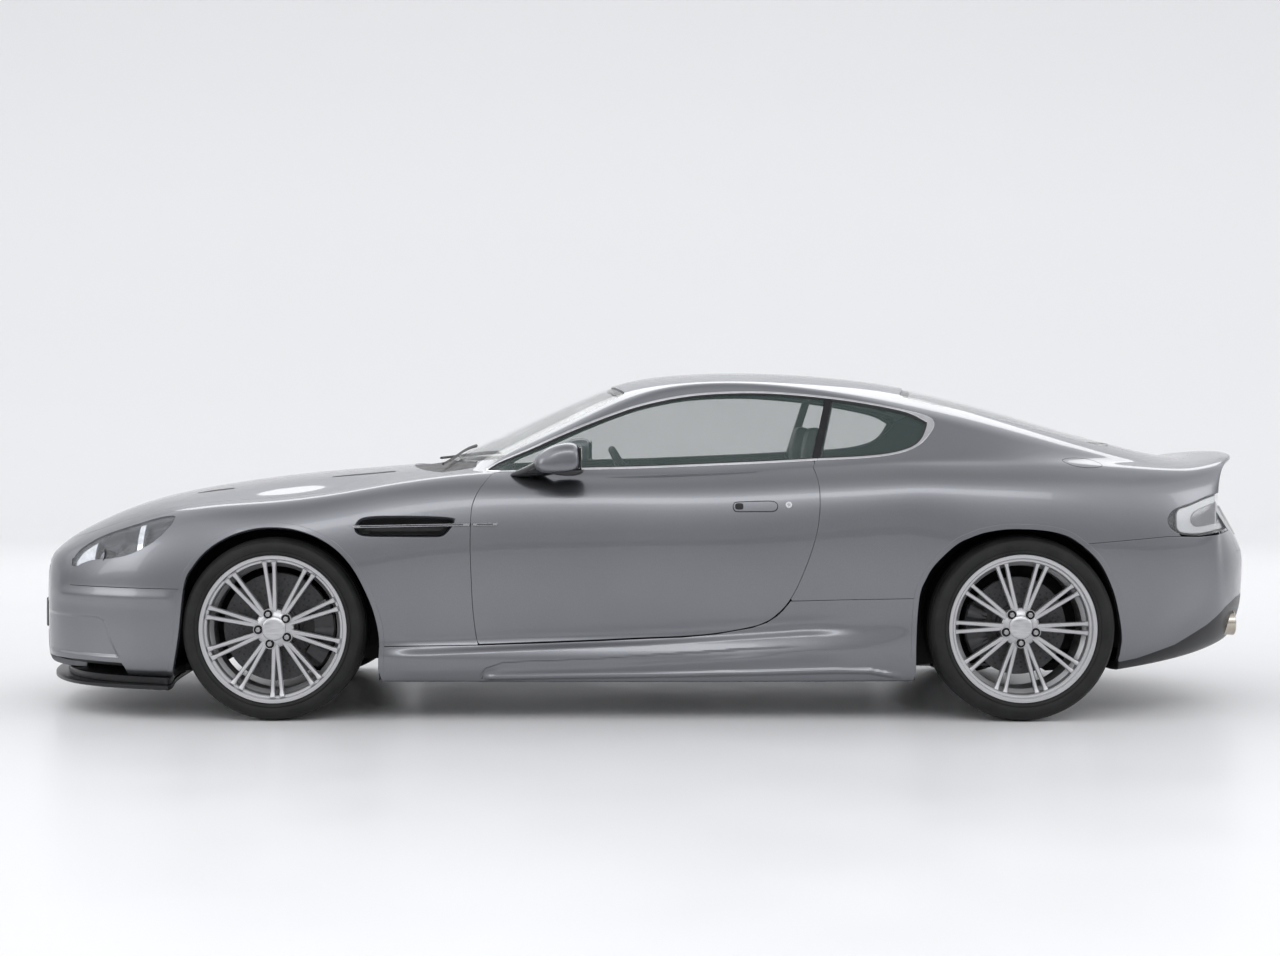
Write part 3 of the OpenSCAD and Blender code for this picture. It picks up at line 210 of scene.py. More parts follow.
# %% Sections, nose to tail
SECTIONS = [
    [-2360, 0, [[0, 420]] * 17],
    [-2357, 150, [[0, 260], [120, 262], [190, 270], [225, 290], [245, 315], [255, 345], [260, 375],
        [260, 410], [258, 440], [250, 470], [235, 495], [210, 515], [180, 530], [145, 541], [105, 549],
        [55, 554], [0, 556]]],
    [-2347, 180, [[0, 185], [250, 187], [400, 195], [450, 212], [475, 240], [488, 280], [494, 330],
        [494, 390], [488, 445], [472, 492], [445, 528], [408, 552], [360, 568], [300, 578], [220, 586],
        [115, 591], [0, 593]]],
    [-2322, 230, [[0, 165], [300, 166], [520, 172], [585, 188], [612, 220], [626, 265], [632, 325],
        [632, 400], [622, 470], [600, 525], [565, 562], [520, 584], [460, 597], [380, 605], [280, 612],
        [145, 617], [0, 619]]],
    [-2270, 260, [[0, 155], [330, 155], [600, 160], [680, 175], [710, 210], [724, 260], [731, 330],
        [731, 415], [722, 495], [696, 556], [656, 594], [605, 616], [535, 630], [440, 640], [320, 649],
        [165, 655], [0, 657]]],
    [-2175, 250, [[0, 150], [360, 150], [660, 154], [752, 168], [786, 205], [800, 260], [808, 340],
        [808, 435], [798, 525], [770, 595], [728, 637], [672, 660], [595, 674], [490, 686], [355, 697],
        [185, 704], [0, 706]]],
    [-2045, 200, [[0, 150], [400, 150], [710, 152], [806, 164], [842, 205], [856, 268], [864, 350],
        [864, 450], [854, 550], [826, 630], [784, 680], [728, 707], [645, 722], [530, 736], [385, 749],
        [200, 758], [0, 760]]],
    [-1870, 150, [[0, 150], [430, 150], [750, 150], [848, 160], [884, 205], [896, 275], [904, 365],
        [905, 470], [895, 580], [866, 672], [822, 728], [768, 756], [682, 770], [560, 785], [405, 799],
        [210, 808], [0, 811]]],
    [-1650, 100, [[0, 150], [450, 150], [770, 148], [874, 156], [910, 210], [922, 290], [929, 390],
        [930, 500], [920, 618], [890, 712], [844, 764], [790, 787], [700, 798], [575, 817], [415, 835],
        [215, 847], [0, 851]]],
    [-1430, 60, [[0, 150], [460, 150], [785, 146], [884, 154], [918, 215], [928, 300], [934, 410],
        [935, 530], [924, 648], [892, 735], [848, 781], [795, 802], [705, 812], [575, 837], [415, 862],
        [215, 876], [0, 881]]],
    [-1200, 50, [[0, 150], [470, 150], [795, 144], [884, 152], [912, 220], [914, 300], [919, 420],
        [921, 550], [910, 675], [878, 765], [838, 809], [788, 829], [706, 837], [575, 860], [415, 884],
        [215, 898], [0, 903]]],
    [-1010, 90, [[0, 150], [475, 150], [800, 143], [880, 150], [904, 225], [896, 298], [905, 420],
        [911, 570], [902, 705], [872, 800], [832, 846], [782, 866], [712, 872], [580, 886], [418, 901],
        [218, 913], [0, 918]]],
    [-870, 190, [[0, 150], [478, 150], [800, 142], [878, 150], [900, 230], [884, 298], [899, 420],
        [908, 585], [900, 730], [870, 828], [822, 874], [772, 893], [712, 898], [600, 906], [440, 918],
        [230, 928], [0, 932]]],
    [-775, 270, [[0, 150], [480, 150], [800, 141], [876, 150], [898, 232], [880, 298], [897, 420],
        [907, 590], [900, 738], [870, 838], [812, 884], [766, 904], [718, 912], [652, 924], [470, 938],
        [240, 950], [0, 955]]],
    [-600, 280, [[0, 150], [480, 150], [800, 141], [875, 150], [897, 234], [876, 298], [896, 420],
        [907, 595], [900, 742], [870, 842], [808, 886], [776, 906], [742, 932], [694, 972], [622, 1006],
        [325, 1030], [0, 1038]]],
    [-375, 250, [[0, 150], [480, 150], [800, 141], [874, 150], [897, 235], [874, 298], [896, 420],
        [908, 598], [901, 746], [870, 845], [806, 889], [780, 910], [735, 975], [664, 1064], [594, 1100],
        [318, 1131], [0, 1142]]],
    [-140, 200, [[0, 150], [480, 150], [800, 141], [873, 150], [897, 236], [874, 298], [896, 420],
        [909, 600], [902, 748], [870, 846], [804, 893], [779, 915], [712, 1020], [626, 1150], [560, 1192],
        [308, 1226], [0, 1238]]],
    [80, 140, [[0, 150], [480, 150], [800, 141], [873, 150], [897, 237], [874, 300], [896, 420],
        [909, 600], [902, 750], [870, 848], [803, 899], [778, 921], [705, 1050], [605, 1197], [548, 1237],
        [302, 1266], [0, 1278]]],
    [350, 50, [[0, 150], [480, 150], [800, 141], [873, 151], [897, 240], [875, 308], [896, 425],
        [909, 600], [903, 752], [872, 852], [804, 908], [779, 930], [705, 1062], [600, 1206], [546, 1245],
        [300, 1278], [0, 1289]]],
    [620, 0, [[0, 150], [480, 150], [800, 142], [874, 153], [898, 248], [882, 330], [898, 440],
        [910, 602], [906, 756], [878, 860], [808, 920], [781, 942], [710, 1055], [610, 1184], [552, 1224],
        [302, 1266], [0, 1279]]],
    [860, -20, [[0, 150], [480, 150], [800, 143], [876, 155], [902, 258], [895, 355], [906, 460],
        [916, 615], [913, 765], [888, 868], [816, 932], [786, 952], [718, 1040], [632, 1142], [566, 1186],
        [306, 1240], [0, 1254]]],
    [1050, -60, [[0, 150], [480, 150], [790, 144], [880, 156], [912, 266], [912, 370], [922, 480],
        [930, 630], [926, 775], [902, 874], [836, 934], [796, 954], [738, 1020], [660, 1098], [584, 1146],
        [312, 1206], [0, 1222]]],
    [1280, -100, [[0, 150], [470, 150], [770, 145], [884, 158], [925, 272], [932, 385], [944, 500],
        [950, 640], [942, 775], [914, 872], [848, 930], [802, 952], [752, 994], [690, 1050], [604, 1100],
        [320, 1152], [0, 1168]]],
    [1530, -120, [[0, 150], [440, 150], [730, 148], [876, 162], [922, 278], [934, 390], [946, 505],
        [952, 640], [942, 770], [912, 866], [850, 922], [806, 946], [758, 966], [700, 998], [606, 1040],
        [325, 1082], [0, 1098]]],
    [1780, -140, [[0, 160], [400, 160], [680, 165], [838, 185], [892, 290], [910, 395], [922, 505],
        [928, 635], [916, 762], [884, 856], [826, 908], [784, 930], [732, 942], [670, 956], [574, 980],
        [310, 1012], [0, 1025]]],
    [1990, -180, [[0, 180], [370, 180], [620, 188], [780, 215], [846, 310], [872, 405], [886, 510],
        [890, 635], [876, 758], [844, 850], [792, 898], [748, 918], [692, 928], [622, 936], [524, 946],
        [285, 962], [0, 970]]],
    [2140, -230, [[0, 205], [330, 205], [560, 214], [712, 245], [792, 330], [826, 415], [844, 515],
        [848, 635], [834, 758], [802, 850], [752, 896], [708, 914], [650, 924], [578, 931], [480, 939],
        [260, 950], [0, 956]]],
    [2240, -270, [[0, 235], [290, 235], [490, 244], [640, 275], [736, 350], [780, 430], [800, 520],
        [804, 635], [790, 758], [758, 850], [712, 900], [668, 922], [610, 936], [538, 946], [446, 955],
        [240, 966], [0, 971]]],
    [2300, -300, [[0, 270], [250, 270], [430, 278], [570, 305], [676, 370], [730, 445], [752, 528],
        [757, 640], [745, 758], [716, 846], [676, 896], [634, 922], [578, 938], [508, 950], [420, 959],
        [226, 969], [0, 973]]],
    [2330, -330, [[0, 320], [200, 320], [350, 328], [480, 350], [600, 400], [668, 462], [694, 535],
        [700, 640, -10], [694, 740, -25], [672, 820, -45], [640, 868, -60], [600, 896, -60],
        [548, 914, -52], [482, 927, -40], [398, 936, -30], [214, 944, -22], [0, 947, -20]]],
    [2350, -340, [[0, 380], [150, 380], [270, 386], [380, 402], [490, 440], [560, 486], [596, 540],
        [608, 625, -12], [606, 705, -45], [592, 775, -85], [566, 820, -110], [530, 846, -120],
        [484, 862, -118], [424, 872, -112], [350, 879, -108], [188, 885, -104], [0, 887, -103]]],
    [2358, -340, [[0, 450], [90, 450], [165, 454], [235, 464], [310, 486], [365, 514], [395, 548],
        [408, 598, -8], [408, 655, -32], [398, 705, -62], [380, 742, -85], [354, 766, -98],
        [322, 782, -104], [282, 793, -106], [232, 800, -107], [125, 806, -108], [0, 808, -108]]],
    [2360, -340, [[0, 520], [40, 520], [75, 522], [105, 527], [135, 537], [160, 550], [175, 566],
        [182, 590, -2], [182, 615, -12], [178, 640, -24], [170, 660, -34], [158, 675, -42],
        [144, 686, -48], [126, 694, -53], [104, 700, -56], [56, 704, -58], [0, 706, -59]]],
    [2355, 0, [[0, 580]] * 17],
]

# %% The spline through the sections
def mirror_pad(net):
    """Rows beyond the middle line are mirror images; stations beyond the ends run straight on."""
    net = np.concatenate([net[:, 1:2] * [1, -1, 1], net, net[:, -2:-1] * [1, -1, 1]], 1)
    return np.concatenate([2 * net[:1] - net[1:2], net, 2 * net[-1:] - net[-2:-1]], 0)

def knot_values(net):
    across = (net[:-2] + 4 * net[1:-1] + net[2:]) / 6
    return (across[:, :-2] + 4 * across[:, 1:-1] + across[:, 2:]) / 6

points = np.array([[[x + bow * (p[0] / 950) ** 2 + (p[2] if len(p) > 2 else 0), p[0], p[1]]
                    for p in row] for x, bow, row in SECTIONS]) / 1000
control = points.copy()
for _ in range(2):
    control = control + (points - knot_values(mirror_pad(control)))
    control[:, 0, 1] = control[:, -1, 1] = 0
CONTROL = mirror_pad(control)
STATIONS, ROWS = control.shape[:2]

def weights(t):
    return [(1 - t) ** 3 / 6, (3 * t ** 3 - 6 * t ** 2 + 4) / 6,
            (-3 * t ** 3 + 3 * t ** 2 + 3 * t + 1) / 6, t ** 3 / 6]

def slopes(t):
    return [-(1 - t) ** 2 / 2, (3 * t ** 2 - 4 * t) / 2, (-3 * t ** 2 + 2 * t + 1) / 2, t ** 2 / 2]

def ease(t):
    t = np.clip(t, 0, 1)
    return t * t * (3 - 2 * t)

def stretch_of(x, start, full, last, end):
    """Rises from 0 at start to 1 at full, and falls from last to 0 at end."""
    return ease((x - start) / (full - start)) * (1 - ease((x - last) / (end - last)))

def relief(p):
    """How far the pressed features stand out of the plain body, in metres: sill ledges, bumper rib."""
    x, y, z = p[:, 0] * 1000, np.abs(p[:, 1]) * 1000, p[:, 2] * 1000
    flank = ease((y - 780) / 40)
    below = np.interp(x, [-960, -800, -33, 562, 760], [250, 253, 283, 320, 326]) - z
    out = (13 * ease((below + 15) / 30) * (1 - ease((below - 60) / 60)) - 5 * np.exp(-((below + 40) / 20) ** 2)
           ) * stretch_of(x, -985, -840, 560, 790) * flank
    below = np.interp(x, [-630, -599, -532, -167, 198, 563], [152, 195, 217, 230, 250, 274]) - z
    out -= (5.5 * ease((below + 3) / 6) * (1 - ease((below - 16) / 22))
            * stretch_of(x, -622, -606, 300, 600) * flank)
    below = np.interp(x, [-618, 0, 684, 806, 927, 960], [168, 176, 192, 191, 170, 150]) - z
    out += (9 * ease((below + 7) / 13) * (1 - ease((below - 8) / 16))
            * stretch_of(x, -612, -580, 860, 940) * flank)
    nose = (1 - ease((x + 1790) / 60))
    out += 7 * np.exp(-((z - 447) / 25) ** 2) * nose * ease((y - 540) / 140)
    edge = np.interp(z, [226, 232, 287, 357, 371], [-1950, -1957, -1985, -2009, -2040])
    out -= 8 * ease((edge - x) / 18) * ease((377 - z) / 14) * ease((z - 222) / 12) * ease((y - 430) / 160)
    return out / 1000

def body_at(u, v):
    """Place and outward normal of the right half of the body at station u and row v."""
    i = np.clip(u.astype(int), 0, STATIONS - 2)
    j = np.clip(v.astype(int), 0, ROWS - 2)
    wu, wv, su, sv = weights(u - i), weights(v - j), slopes(u - i), slopes(v - j)
    place, along, up = (np.zeros((len(u), 3)) for _ in range(3))
    for a in range(4):
        for b in range(4):
            c = CONTROL[i + a, j + b]
            place += (wu[a] * wv[b])[:, None] * c
            along += (su[a] * wv[b])[:, None] * c
            up += (wu[a] * sv[b])[:, None] * c
    normal = np.cross(up, along)
    normal /= np.maximum(np.linalg.norm(normal, axis=1), 1e-12)[:, None]
    tilt = np.stack([relief(place + e) - relief(place - e) for e in np.eye(3) * 5e-4], 1) / 1e-3
    tilt -= (tilt * normal).sum(1)[:, None] * normal
    place = place + relief(place)[:, None] * normal
    normal = normal - tilt
    return place, normal / np.linalg.norm(normal, axis=1)[:, None]

# %% A fine grid over the right half
STEP = 0.018
def fine_lines(count, length_of):
    lines = [0.0]
    for k in range(count - 1):
        n = max(2, int(math.ceil(length_of(k) / STEP)))
        lines += [k + (m + 1) / n for m in range(n)]
    return np.array(lines)

GRID_U = fine_lines(STATIONS, lambda k: np.linalg.norm(points[k + 1] - points[k], axis=1)[3:].max())
GRID_V = fine_lines(ROWS, lambda k: np.linalg.norm(points[:, k + 1] - points[:, k], axis=1)[5:-5].mean())
GRID_U = GRID_U[(GRID_U > 0.4) & (GRID_U < STATIONS - 1.35)]
uu, vv = np.meshgrid(GRID_U, GRID_V, indexing="ij")
GRID_P, GRID_N = body_at(uu.ravel(), vv.ravel())
NU, NV = len(GRID_U), len(GRID_V)
print("grid over the half body:", NU, "x", NV)

# %% [markdown]
# ## Shut lines as distances
# Each shut line is drawn once, in the side view or the top view. What cuts a panel out of the skin is
# the distance to those lines: a panel is where all its distances are positive. Distances blend
# softly where two lines meet, which rounds a panel's corners as a press tool does.

# %% Distance to a line drawn from the side or from above
def curved(line, n=4):
    """A smooth closed line through the given corners."""
    p = np.array(line, float)
    a, b, c, d = np.roll(p, 1, 0), p, np.roll(p, -1, 0), np.roll(p, -2, 0)
    rows = []
    for k in range(n):
        t = k / n
        rows.append(0.5 * (2 * b + (c - a) * t + (2 * a - 5 * b + 4 * c - d) * t * t
                           + (3 * b - a - 3 * c + d) * t ** 3))
    return np.stack(rows, 1).reshape(-1, 2)

class Line:
    """A closed outline in the side view (axes 0 and 2) or the top view (axes 0 and 1)."""
    def __init__(self, line, axes=(0, 2), smooth=4):
        self.points = (curved(line, smooth) if smooth else np.array(line, float)) / 1000
        self.axes = list(axes)

    def distance(self, place, normal):
        """Distance along the skin, positive inside the outline."""
        p = place[:, self.axes]
        start, end = self.points, np.roll(self.points, -1, 0)
        best = np.full(len(p), 1e9)
        off = np.zeros_like(p)
        inside = np.zeros(len(p), bool)
        for a, b in zip(start, end):
            d = b - a
            t = np.clip(((p - a) @ d) / max(d @ d, 1e-12), 0, 1)
            q = p - a - t[:, None] * d
            r = (q ** 2).sum(1)
            near = r < best
            best[near] = r[near]
            off[near] = q[near]
            crosses = ((a[1] > p[:, 1]) != (b[1] > p[:, 1]))
            if crosses.any():
                x = a[0] + (p[:, 1] - a[1]) * d[0] / (d[1] if d[1] else 1e-12)
                inside ^= crosses & (p[:, 0] < x)
        dist = np.sqrt(best)
        ray = np.zeros((len(p), 3))
        ray[:, self.axes] = off / np.maximum(dist, 1e-9)[:, None]
        flat = ray - (ray * normal).sum(1)[:, None] * normal
        scale = np.clip(np.linalg.norm(flat, axis=1), 0.35, 1)
        return np.where(inside, dist, -dist) / scale

def soft_min(distances, radius=0.004):
    """The smallest of several distances, rounded where two are nearly equal."""
    out = distances[0]
    for d in distances[1:]:
        h = np.clip(0.5 + 0.5 * (d - out) / radius, 0, 1)
        out = d * (1 - h) + out * h - radius * h * (1 - h)
    return out

# %% [markdown]
# ## Cutting a panel
# A mesh tool that cuts with a solid leaves ragged triangles along the cut, and they show in gloss
# paint. So the skin is cut here by its own distances: whole grid squares stay, the squares on the
# line are trimmed exactly to it, and a small rounded edge is turned down into the gap all round.
# Each point keeps the true normal of the spline, so reflections run across without a ripple.

# %% The panel cutter
EXTRA = 3

def on_body(field, uv):
    p, n = body_at(uv[:, 0], uv[:, 1])
    return field(p, n), p, n

def finer(lines, near, times):
    """The stretch of grid lines that comes near a panel, each step cut into several."""
    low, high = max(near.min() - 1, 0), min(near.max() + 1, len(lines) - 1)
    cut = lines[low:high + 1]
    parts = [cut[:-1] + (cut[1:] - cut[:-1]) * k / times for k in range(times)]
    return np.append(np.stack(parts, 1).ravel(), cut[-1])

def trimmed(field, fine=1):
    """Points (u, v), faces and border edges of the part of the grid where the field is positive."""
    extra = EXTRA if fine == 1 else 1
    lines_u, lines_v = GRID_U, GRID_V
    value = field(GRID_P, GRID_N).reshape(NU, NV)
    if fine > 1:
        near = np.nonzero(value > -1.6 * STEP)
        lines_u, lines_v = finer(GRID_U, near[0], fine), finer(GRID_V, near[1], fine)
        mu, mv = np.meshgrid(lines_u, lines_v, indexing="ij")
        value = field(*body_at(mu.ravel(), mv.ravel())).reshape(mu.shape)
    keep = value > 0
    ids = -np.ones(keep.shape, int)
    ids[keep] = np.arange(keep.sum())
    iu, iv = np.nonzero(keep)
    uv = list(zip(lines_u[iu], lines_v[iv]))
    total = (keep[:-1, :-1].astype(int) + keep[1:, :-1] + keep[1:, 1:] + keep[:-1, 1:])
    faces = []
    for i, j in zip(*np.nonzero(total == 4)):
        faces.append((ids[i, j], ids[i + 1, j], ids[i + 1, j + 1], ids[i, j + 1]))
    crossings, polys = {}, []
    for i, j in zip(*np.nonzero((total > 0) & (total < 4))):
        a, b, c, d = (i, j), (i + 1, j), (i + 1, j + 1), (i, j + 1)
        for tri in ((a, b, c), (a, c, d)):
            if not any(keep[p] for p in tri):
                continue
            poly = []
            for k in range(3):
                p, q = tri[k], tri[(k + 1) % 3]
                if keep[p]:
                    poly.append(ids[p])
                if keep[p] != keep[q]:
                    inner, outer = (p, q) if keep[p] else (q, p)
                    poly.append(("x", crossings.setdefault((inner, outer), len(crossings)), keep[p]))
            polys.append(poly)
    if crossings:
        ends = np.array([[(lines_u[p[0]], lines_v[p[1]]) for p in pair] for pair in crossings])
        lo, hi = ends[:, 0].copy(), ends[:, 1].copy()
        flo = np.array([value[p] for p, _ in crossings])
        fhi = np.array([value[q] for _, q in crossings])
        mid = lo
        for step in range(5):
            t = np.clip(flo / np.maximum(flo - fhi, 1e-12), 0.05, 0.95) if step % 2 == 0 else 0.5
            mid = lo + (hi - lo) * np.broadcast_to(t, flo.shape)[:, None]
            f = on_body(field, mid)[0]
            pos = f > 0
            lo[pos], flo[pos] = mid[pos], f[pos]
            hi[~pos], fhi[~pos] = mid[~pos], f[~pos]
        cross_uv = lo + (hi - lo) * (flo / np.maximum(flo - fhi, 1e-12))[:, None]
        base = len(uv)
        uv += [tuple(p) for p in cross_uv]
    border, mids = [], []
    for poly in polys:
        out = []
        for k, item in enumerate(poly):
            if not isinstance(item, tuple):
                out.append(item)
                continue
            out.append(base + item[1])
            nxt = poly[(k + 1) % len(poly)]
            if item[2] and isinstance(nxt, tuple):
                chain = [base + item[1]]
                for m in range(extra):
                    t = (m + 1) / (extra + 1)
                    mids.append(cross_uv[item[1]] * (1 - t) + cross_uv[nxt[1]] * t)
                    chain.append(len(uv) + len(mids) - 1)
                out += chain[1:]
                chain.append(base + nxt[1])
                border += list(zip(chain[:-1], chain[1:]))
        faces.append(tuple(out))
    if mids:
        m = np.array(mids)
        for _ in range(3):
            f = on_body(field, m)[0]
            e = 1e-3
            gu = (on_body(field, m + [e, 0])[0] - f) / e
            gv = (on_body(field, m + [0, e])[0] - f) / e
            step = f / np.maximum(gu ** 2 + gv ** 2, 1e-9)
            m -= np.clip(np.stack([gu * step, gv * step], 1), -0.08 / fine, 0.08 / fine)
        uv += [tuple(p) for p in m]
    return np.array(uv), faces, border

def half_panel(field, lift=0.0, depth=0.012, lip=0.0016, closed=False, fine=1):
    """Points, normals and faces of the right half of a panel."""
    uv, faces, border = trimmed(field, fine)
    place, normal = body_at(uv[:, 0], uv[:, 1])
    middle = np.abs(place[:, 1]) < 1e-6
    rim = sorted({k for edge in border for k in edge})
    at = {k: n for n, k in enumerate(rim)}
    p, n = place[rim], normal[rim]
    grad = np.stack([field(p + e, n) - field(p - e, n) for e in np.eye(3) * 2e-4], 1)
    out = -(grad - (grad * n).sum(1)[:, None] * n)
    out[middle[rim], 1] = 0
    out /= np.maximum(np.linalg.norm(out, axis=1), 1e-9)[:, None]
    rows, row_normals = [place + lift * normal], [normal]
    start = [0]
    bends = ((30, 60, 90))
    top = p + lift * n
    for angle in bends:
        s, c = math.sin(math.radians(angle)), math.cos(math.radians(angle))
        start.append(start[-1] + len(rows[-1]))
        rows.append(top + lip * s * out - lip * (1 - c) * n)
        row_normals.append(s * out + c * n)
    start.append(start[-1] + len(rows[-1]))
    rows.append(top + lip * out - depth * n)
    row_normals.append(out)
    total = start[-1] + len(rows[-1])
    faces = [tuple(reversed(f)) for f in faces]
    inner = []
    if closed:
        rows.append(place + (lift - depth) * normal)
        row_normals.append(-normal)
        inner = [tuple(total + k for k in reversed(f)) for f in faces]
    for a, b in border:
        first, second = a, b
        for s in start[1:]:
            faces.append((first, second, s + at[b], s + at[a]))
            first, second = s + at[a], s + at[b]
        if closed:
            faces.append((first, second, total + b, total + a))
    return np.concatenate(rows), np.concatenate(row_normals), faces + inner

PANELS = {}
def panel(name, field, body, slot, mat, nodes=(), side=None, key=None, **shape):
    """A panel of the right side, of the left side, or one panel across the middle."""
    key = key or name
    if key not in PANELS:
        PANELS[key] = half_panel(field, **shape)
    place, normal, faces = PANELS[key]
    flip = np.array([1, -1, 1])
    left = [tuple(reversed(f)) for f in faces]
    if side == "right":
        obj = mesh_piece(name, place, faces, normal)
    elif side == "left":
        obj = mesh_piece(name, place * flip, left, normal * flip)
    else:
        seam = np.abs(place[:, 1]) < 2e-5
        ids = np.where(seam, np.arange(len(place)), 0)
        ids[~seam] = len(place) + np.arange((~seam).sum())
        both = np.concatenate([place, (place * flip)[~seam]])
        normals = np.concatenate([normal, (normal * flip)[~seam]])
        obj = mesh_piece(name, both, faces + [tuple(ids[k] for k in f) for f in left], normals)
    finish_piece(obj, name, body, mat, nodes, smooth=None)
    print(name, len(obj.data.polygons), "faces")
    return obj

def pair(name, field, body, slot, mat, nodes=(), **shape):
    """The same panel on both sides: {} in a name, a body or a node becomes right or left."""
    return [panel(name.format(s), field, body.format(s), slot, mat, [n.format(s) for n in nodes], s,
                  key=name, **shape) for s in ("right", "left")]

# %% Outlines of openings and shut lines, in millimetres
def both_sides(half):
    """Close a half outline with its mirror image."""
    return half + [[x, -y] for x, y in reversed(half) if y > 0]

def about(shape, cx, cz, r):
    return [[cx + x * r, cz + z * r] for x, z in shape]

DOOR = Line([[-571, 904], [-592, 886], [-614, 858], [-634, 822], [-646, 785], [-650, 741], [-652, 660],
             [-651, 602], [-648, 520], [-644, 430], [-638, 360], [-630, 300], [-622, 284], [-600, 283],
             [-399, 290], [-182, 298], [-34, 305], [120, 311], [246, 322], [376, 345], [430, 364],
             [462, 387], [490, 414], [513, 444], [540, 492], [563, 546], [584, 600], [602, 657],
             [614, 706], [621, 760], [623, 820], [620, 868], [612, 905], [605, 928], [599, 950],
             [440, 941], [249, 932.6], [100, 927], [-34, 921.6], [-251, 916.6], [-394, 912.6], [-500, 910]])
GLASS = Line([[-596, 925], [-560, 946], [-500, 972], [-437, 999], [-350, 1039], [-263, 1077], [-148, 1122],
              [-34, 1160], [110, 1191], [255, 1206], [448, 1208], [668, 1190], [832, 1166], [976, 1136],
              [1046, 1116], [1070, 1096], [1060, 1062], [1000, 1005], [914, 975], [792, 960], [613, 951],
              [430, 941], [249, 933], [100, 927], [-34, 922], [-251, 917], [-394, 913], [-560, 909],
              [-606, 912]])
SCREEN = Line(both_sides([[-787, 0], [-783, 90], [-772, 190], [-752, 290], [-722, 390], [-684, 480],
                          [-640, 560], [-597, 612], [-560, 640], [-380, 592], [-200, 545], [-118, 516],
                          [-96, 490], [-100, 430], [-118, 330], [-136, 200], [-148, 90], [-151, 0]]),
              (0, 1))
REAR_GLASS = Line(both_sides([[1016, 0], [1012, 120], [1000, 250], [984, 350], [972, 420], [976, 455],
                              [1000, 478], [1080, 488], [1250, 486], [1450, 474], [1620, 455], [1720, 436],
                              [1762, 408], [1788, 350], [1812, 240], [1826, 120], [1830, 0]]), (0, 1))
BONNET = Line(both_sides([[-938, 0], [-934, 120], [-922, 240], [-900, 360], [-868, 470], [-828, 560],
                          [-786, 630], [-752, 676], [-742, 700], [-752, 712], [-800, 716], [-1000, 716],
                          [-1200, 714], [-1430, 708], [-1650, 696], [-1760, 684], [-1860, 656],
                          [-1960, 610], [-2060, 548], [-2150, 470], [-2215, 385], [-2262, 290],
                          [-2290, 190], [-2304, 90], [-2308, 0]]), (0, 1))
LID = Line(both_sides([[1872, 0], [1870, 120], [1862, 240], [1850, 340], [1842, 400], [1850, 432],
                       [1880, 452], [1960, 470], [2060, 484], [2150, 492], [2300, 492], [2500, 492]]),
           (0, 1), smooth=0)
LAMP = Line([[-2172, 560], [-2162, 592], [-2130, 626], [-2055, 667], [-1943, 704], [-1830, 738],
             [-1775, 748], [-1752, 744], [-1756, 726], [-1768, 706], [-1812, 663], [-1868, 628],
             [-1930, 602], [-2000, 588], [-2074, 580], [-2120, 566], [-2150, 552]])
TAIL = Line([[1905, 728], [1914, 756], [1946, 778], [2001, 794], [2083, 822], [2150, 832], [2230, 836],
             [2420, 836], [2420, 700], [2230, 690], [2134, 684], [2038, 674], [1964, 680], [1922, 698]])
ARCH_SHAPE_F = [[-1.30, -1.2], [-1.13, -0.55], [-1.033, -0.08], [-0.965, 0.49], [-0.86, 0.70],
                [-0.73, 0.85], [-0.575, 0.962], [-0.40, 1.045], [-0.20, 1.098], [0, 1.113], [0.21, 1.095],
                [0.41, 1.038], [0.58, 0.955], [0.735, 0.838], [0.88, 0.665], [1.005, 0.435],
                [1.105, 0.178], [1.16, -0.11], [1.15, -0.45], [1.145, -1.2]]
ARCH_SHAPE_R = [[-1.135, -1.2], [-1.145, -0.50], [-1.145, -0.10], [-1.115, 0.34], [-1.05, 0.53],
                [-0.955, 0.69], [-0.74, 0.90], [-0.58, 0.985], [-0.42, 1.04], [-0.22, 1.073],
                [-0.04, 1.078], [0.16, 1.067], [0.33, 1.042], [0.50, 0.985], [0.65, 0.88], [0.77, 0.77],
                [0.866, 0.64], [0.965, 0.43], [1.03, 0.21], [1.085, -0.10], [1.07, -0.36], [1.05, -1.2]]
ARCH_F = Line(about(ARCH_SHAPE_F, -1376, 336, 336))
ARCH_R = Line(about(ARCH_SHAPE_R, 1364, 340, 340))
SILL = Line([[-1100, 60], [-1100, 271], [-984, 272], [-626, 277], [-399, 284], [-182, 292], [-34, 299],
             [120, 305], [246, 316], [376, 339], [432, 358], [466, 381], [494, 408], [517, 438],
             [700, 443], [983, 449], [1100, 452], [1100, 60]], smooth=0)
NOSE = Line([[-2600, 60], [-2600, 470], [-2172, 483], [-1950, 484], [-1600, 483], [-1600, 60]], smooth=0)
TAIL_END = Line([[1500, 60], [1500, 640], [1622, 652], [1911, 674], [2038, 670], [2420, 690], [2420, 60]],
                smooth=0)
DIFFUSER = Line([[1500, 60], [1500, 205], [1702, 205], [1800, 222], [1950, 268], [2080, 336], [2170, 398],
                 [2240, 425], [2420, 440], [2420, 60]], smooth=0)
ROOF = Line([[-652, 905], [-560, 905], [505, 947], [600, 951.5], [655, 953], [680, 990], [780, 1000],
             [960, 1040], [1040, 1078], [1069, 1096], [1101, 1112], [1141, 1202], [1151, 1500],
             [-652, 1500]], smooth=0)
INTAKE = Line([[-2330, 206], [-2150, 208], [-1948, 205], [-1936, 186], [-1922, 140], [-2100, 136],
               [-2330, 140]], smooth=0)
VENT = Line([[-1079, 700], [-1072, 727], [-1050, 744], [-1000, 751], [-900, 752], [-780, 750],
             [-716, 744], [-708, 735], [-716, 716], [-735, 690], [-756, 674], [-800, 671], [-930, 672],
             [-1030, 674], [-1064, 682]])

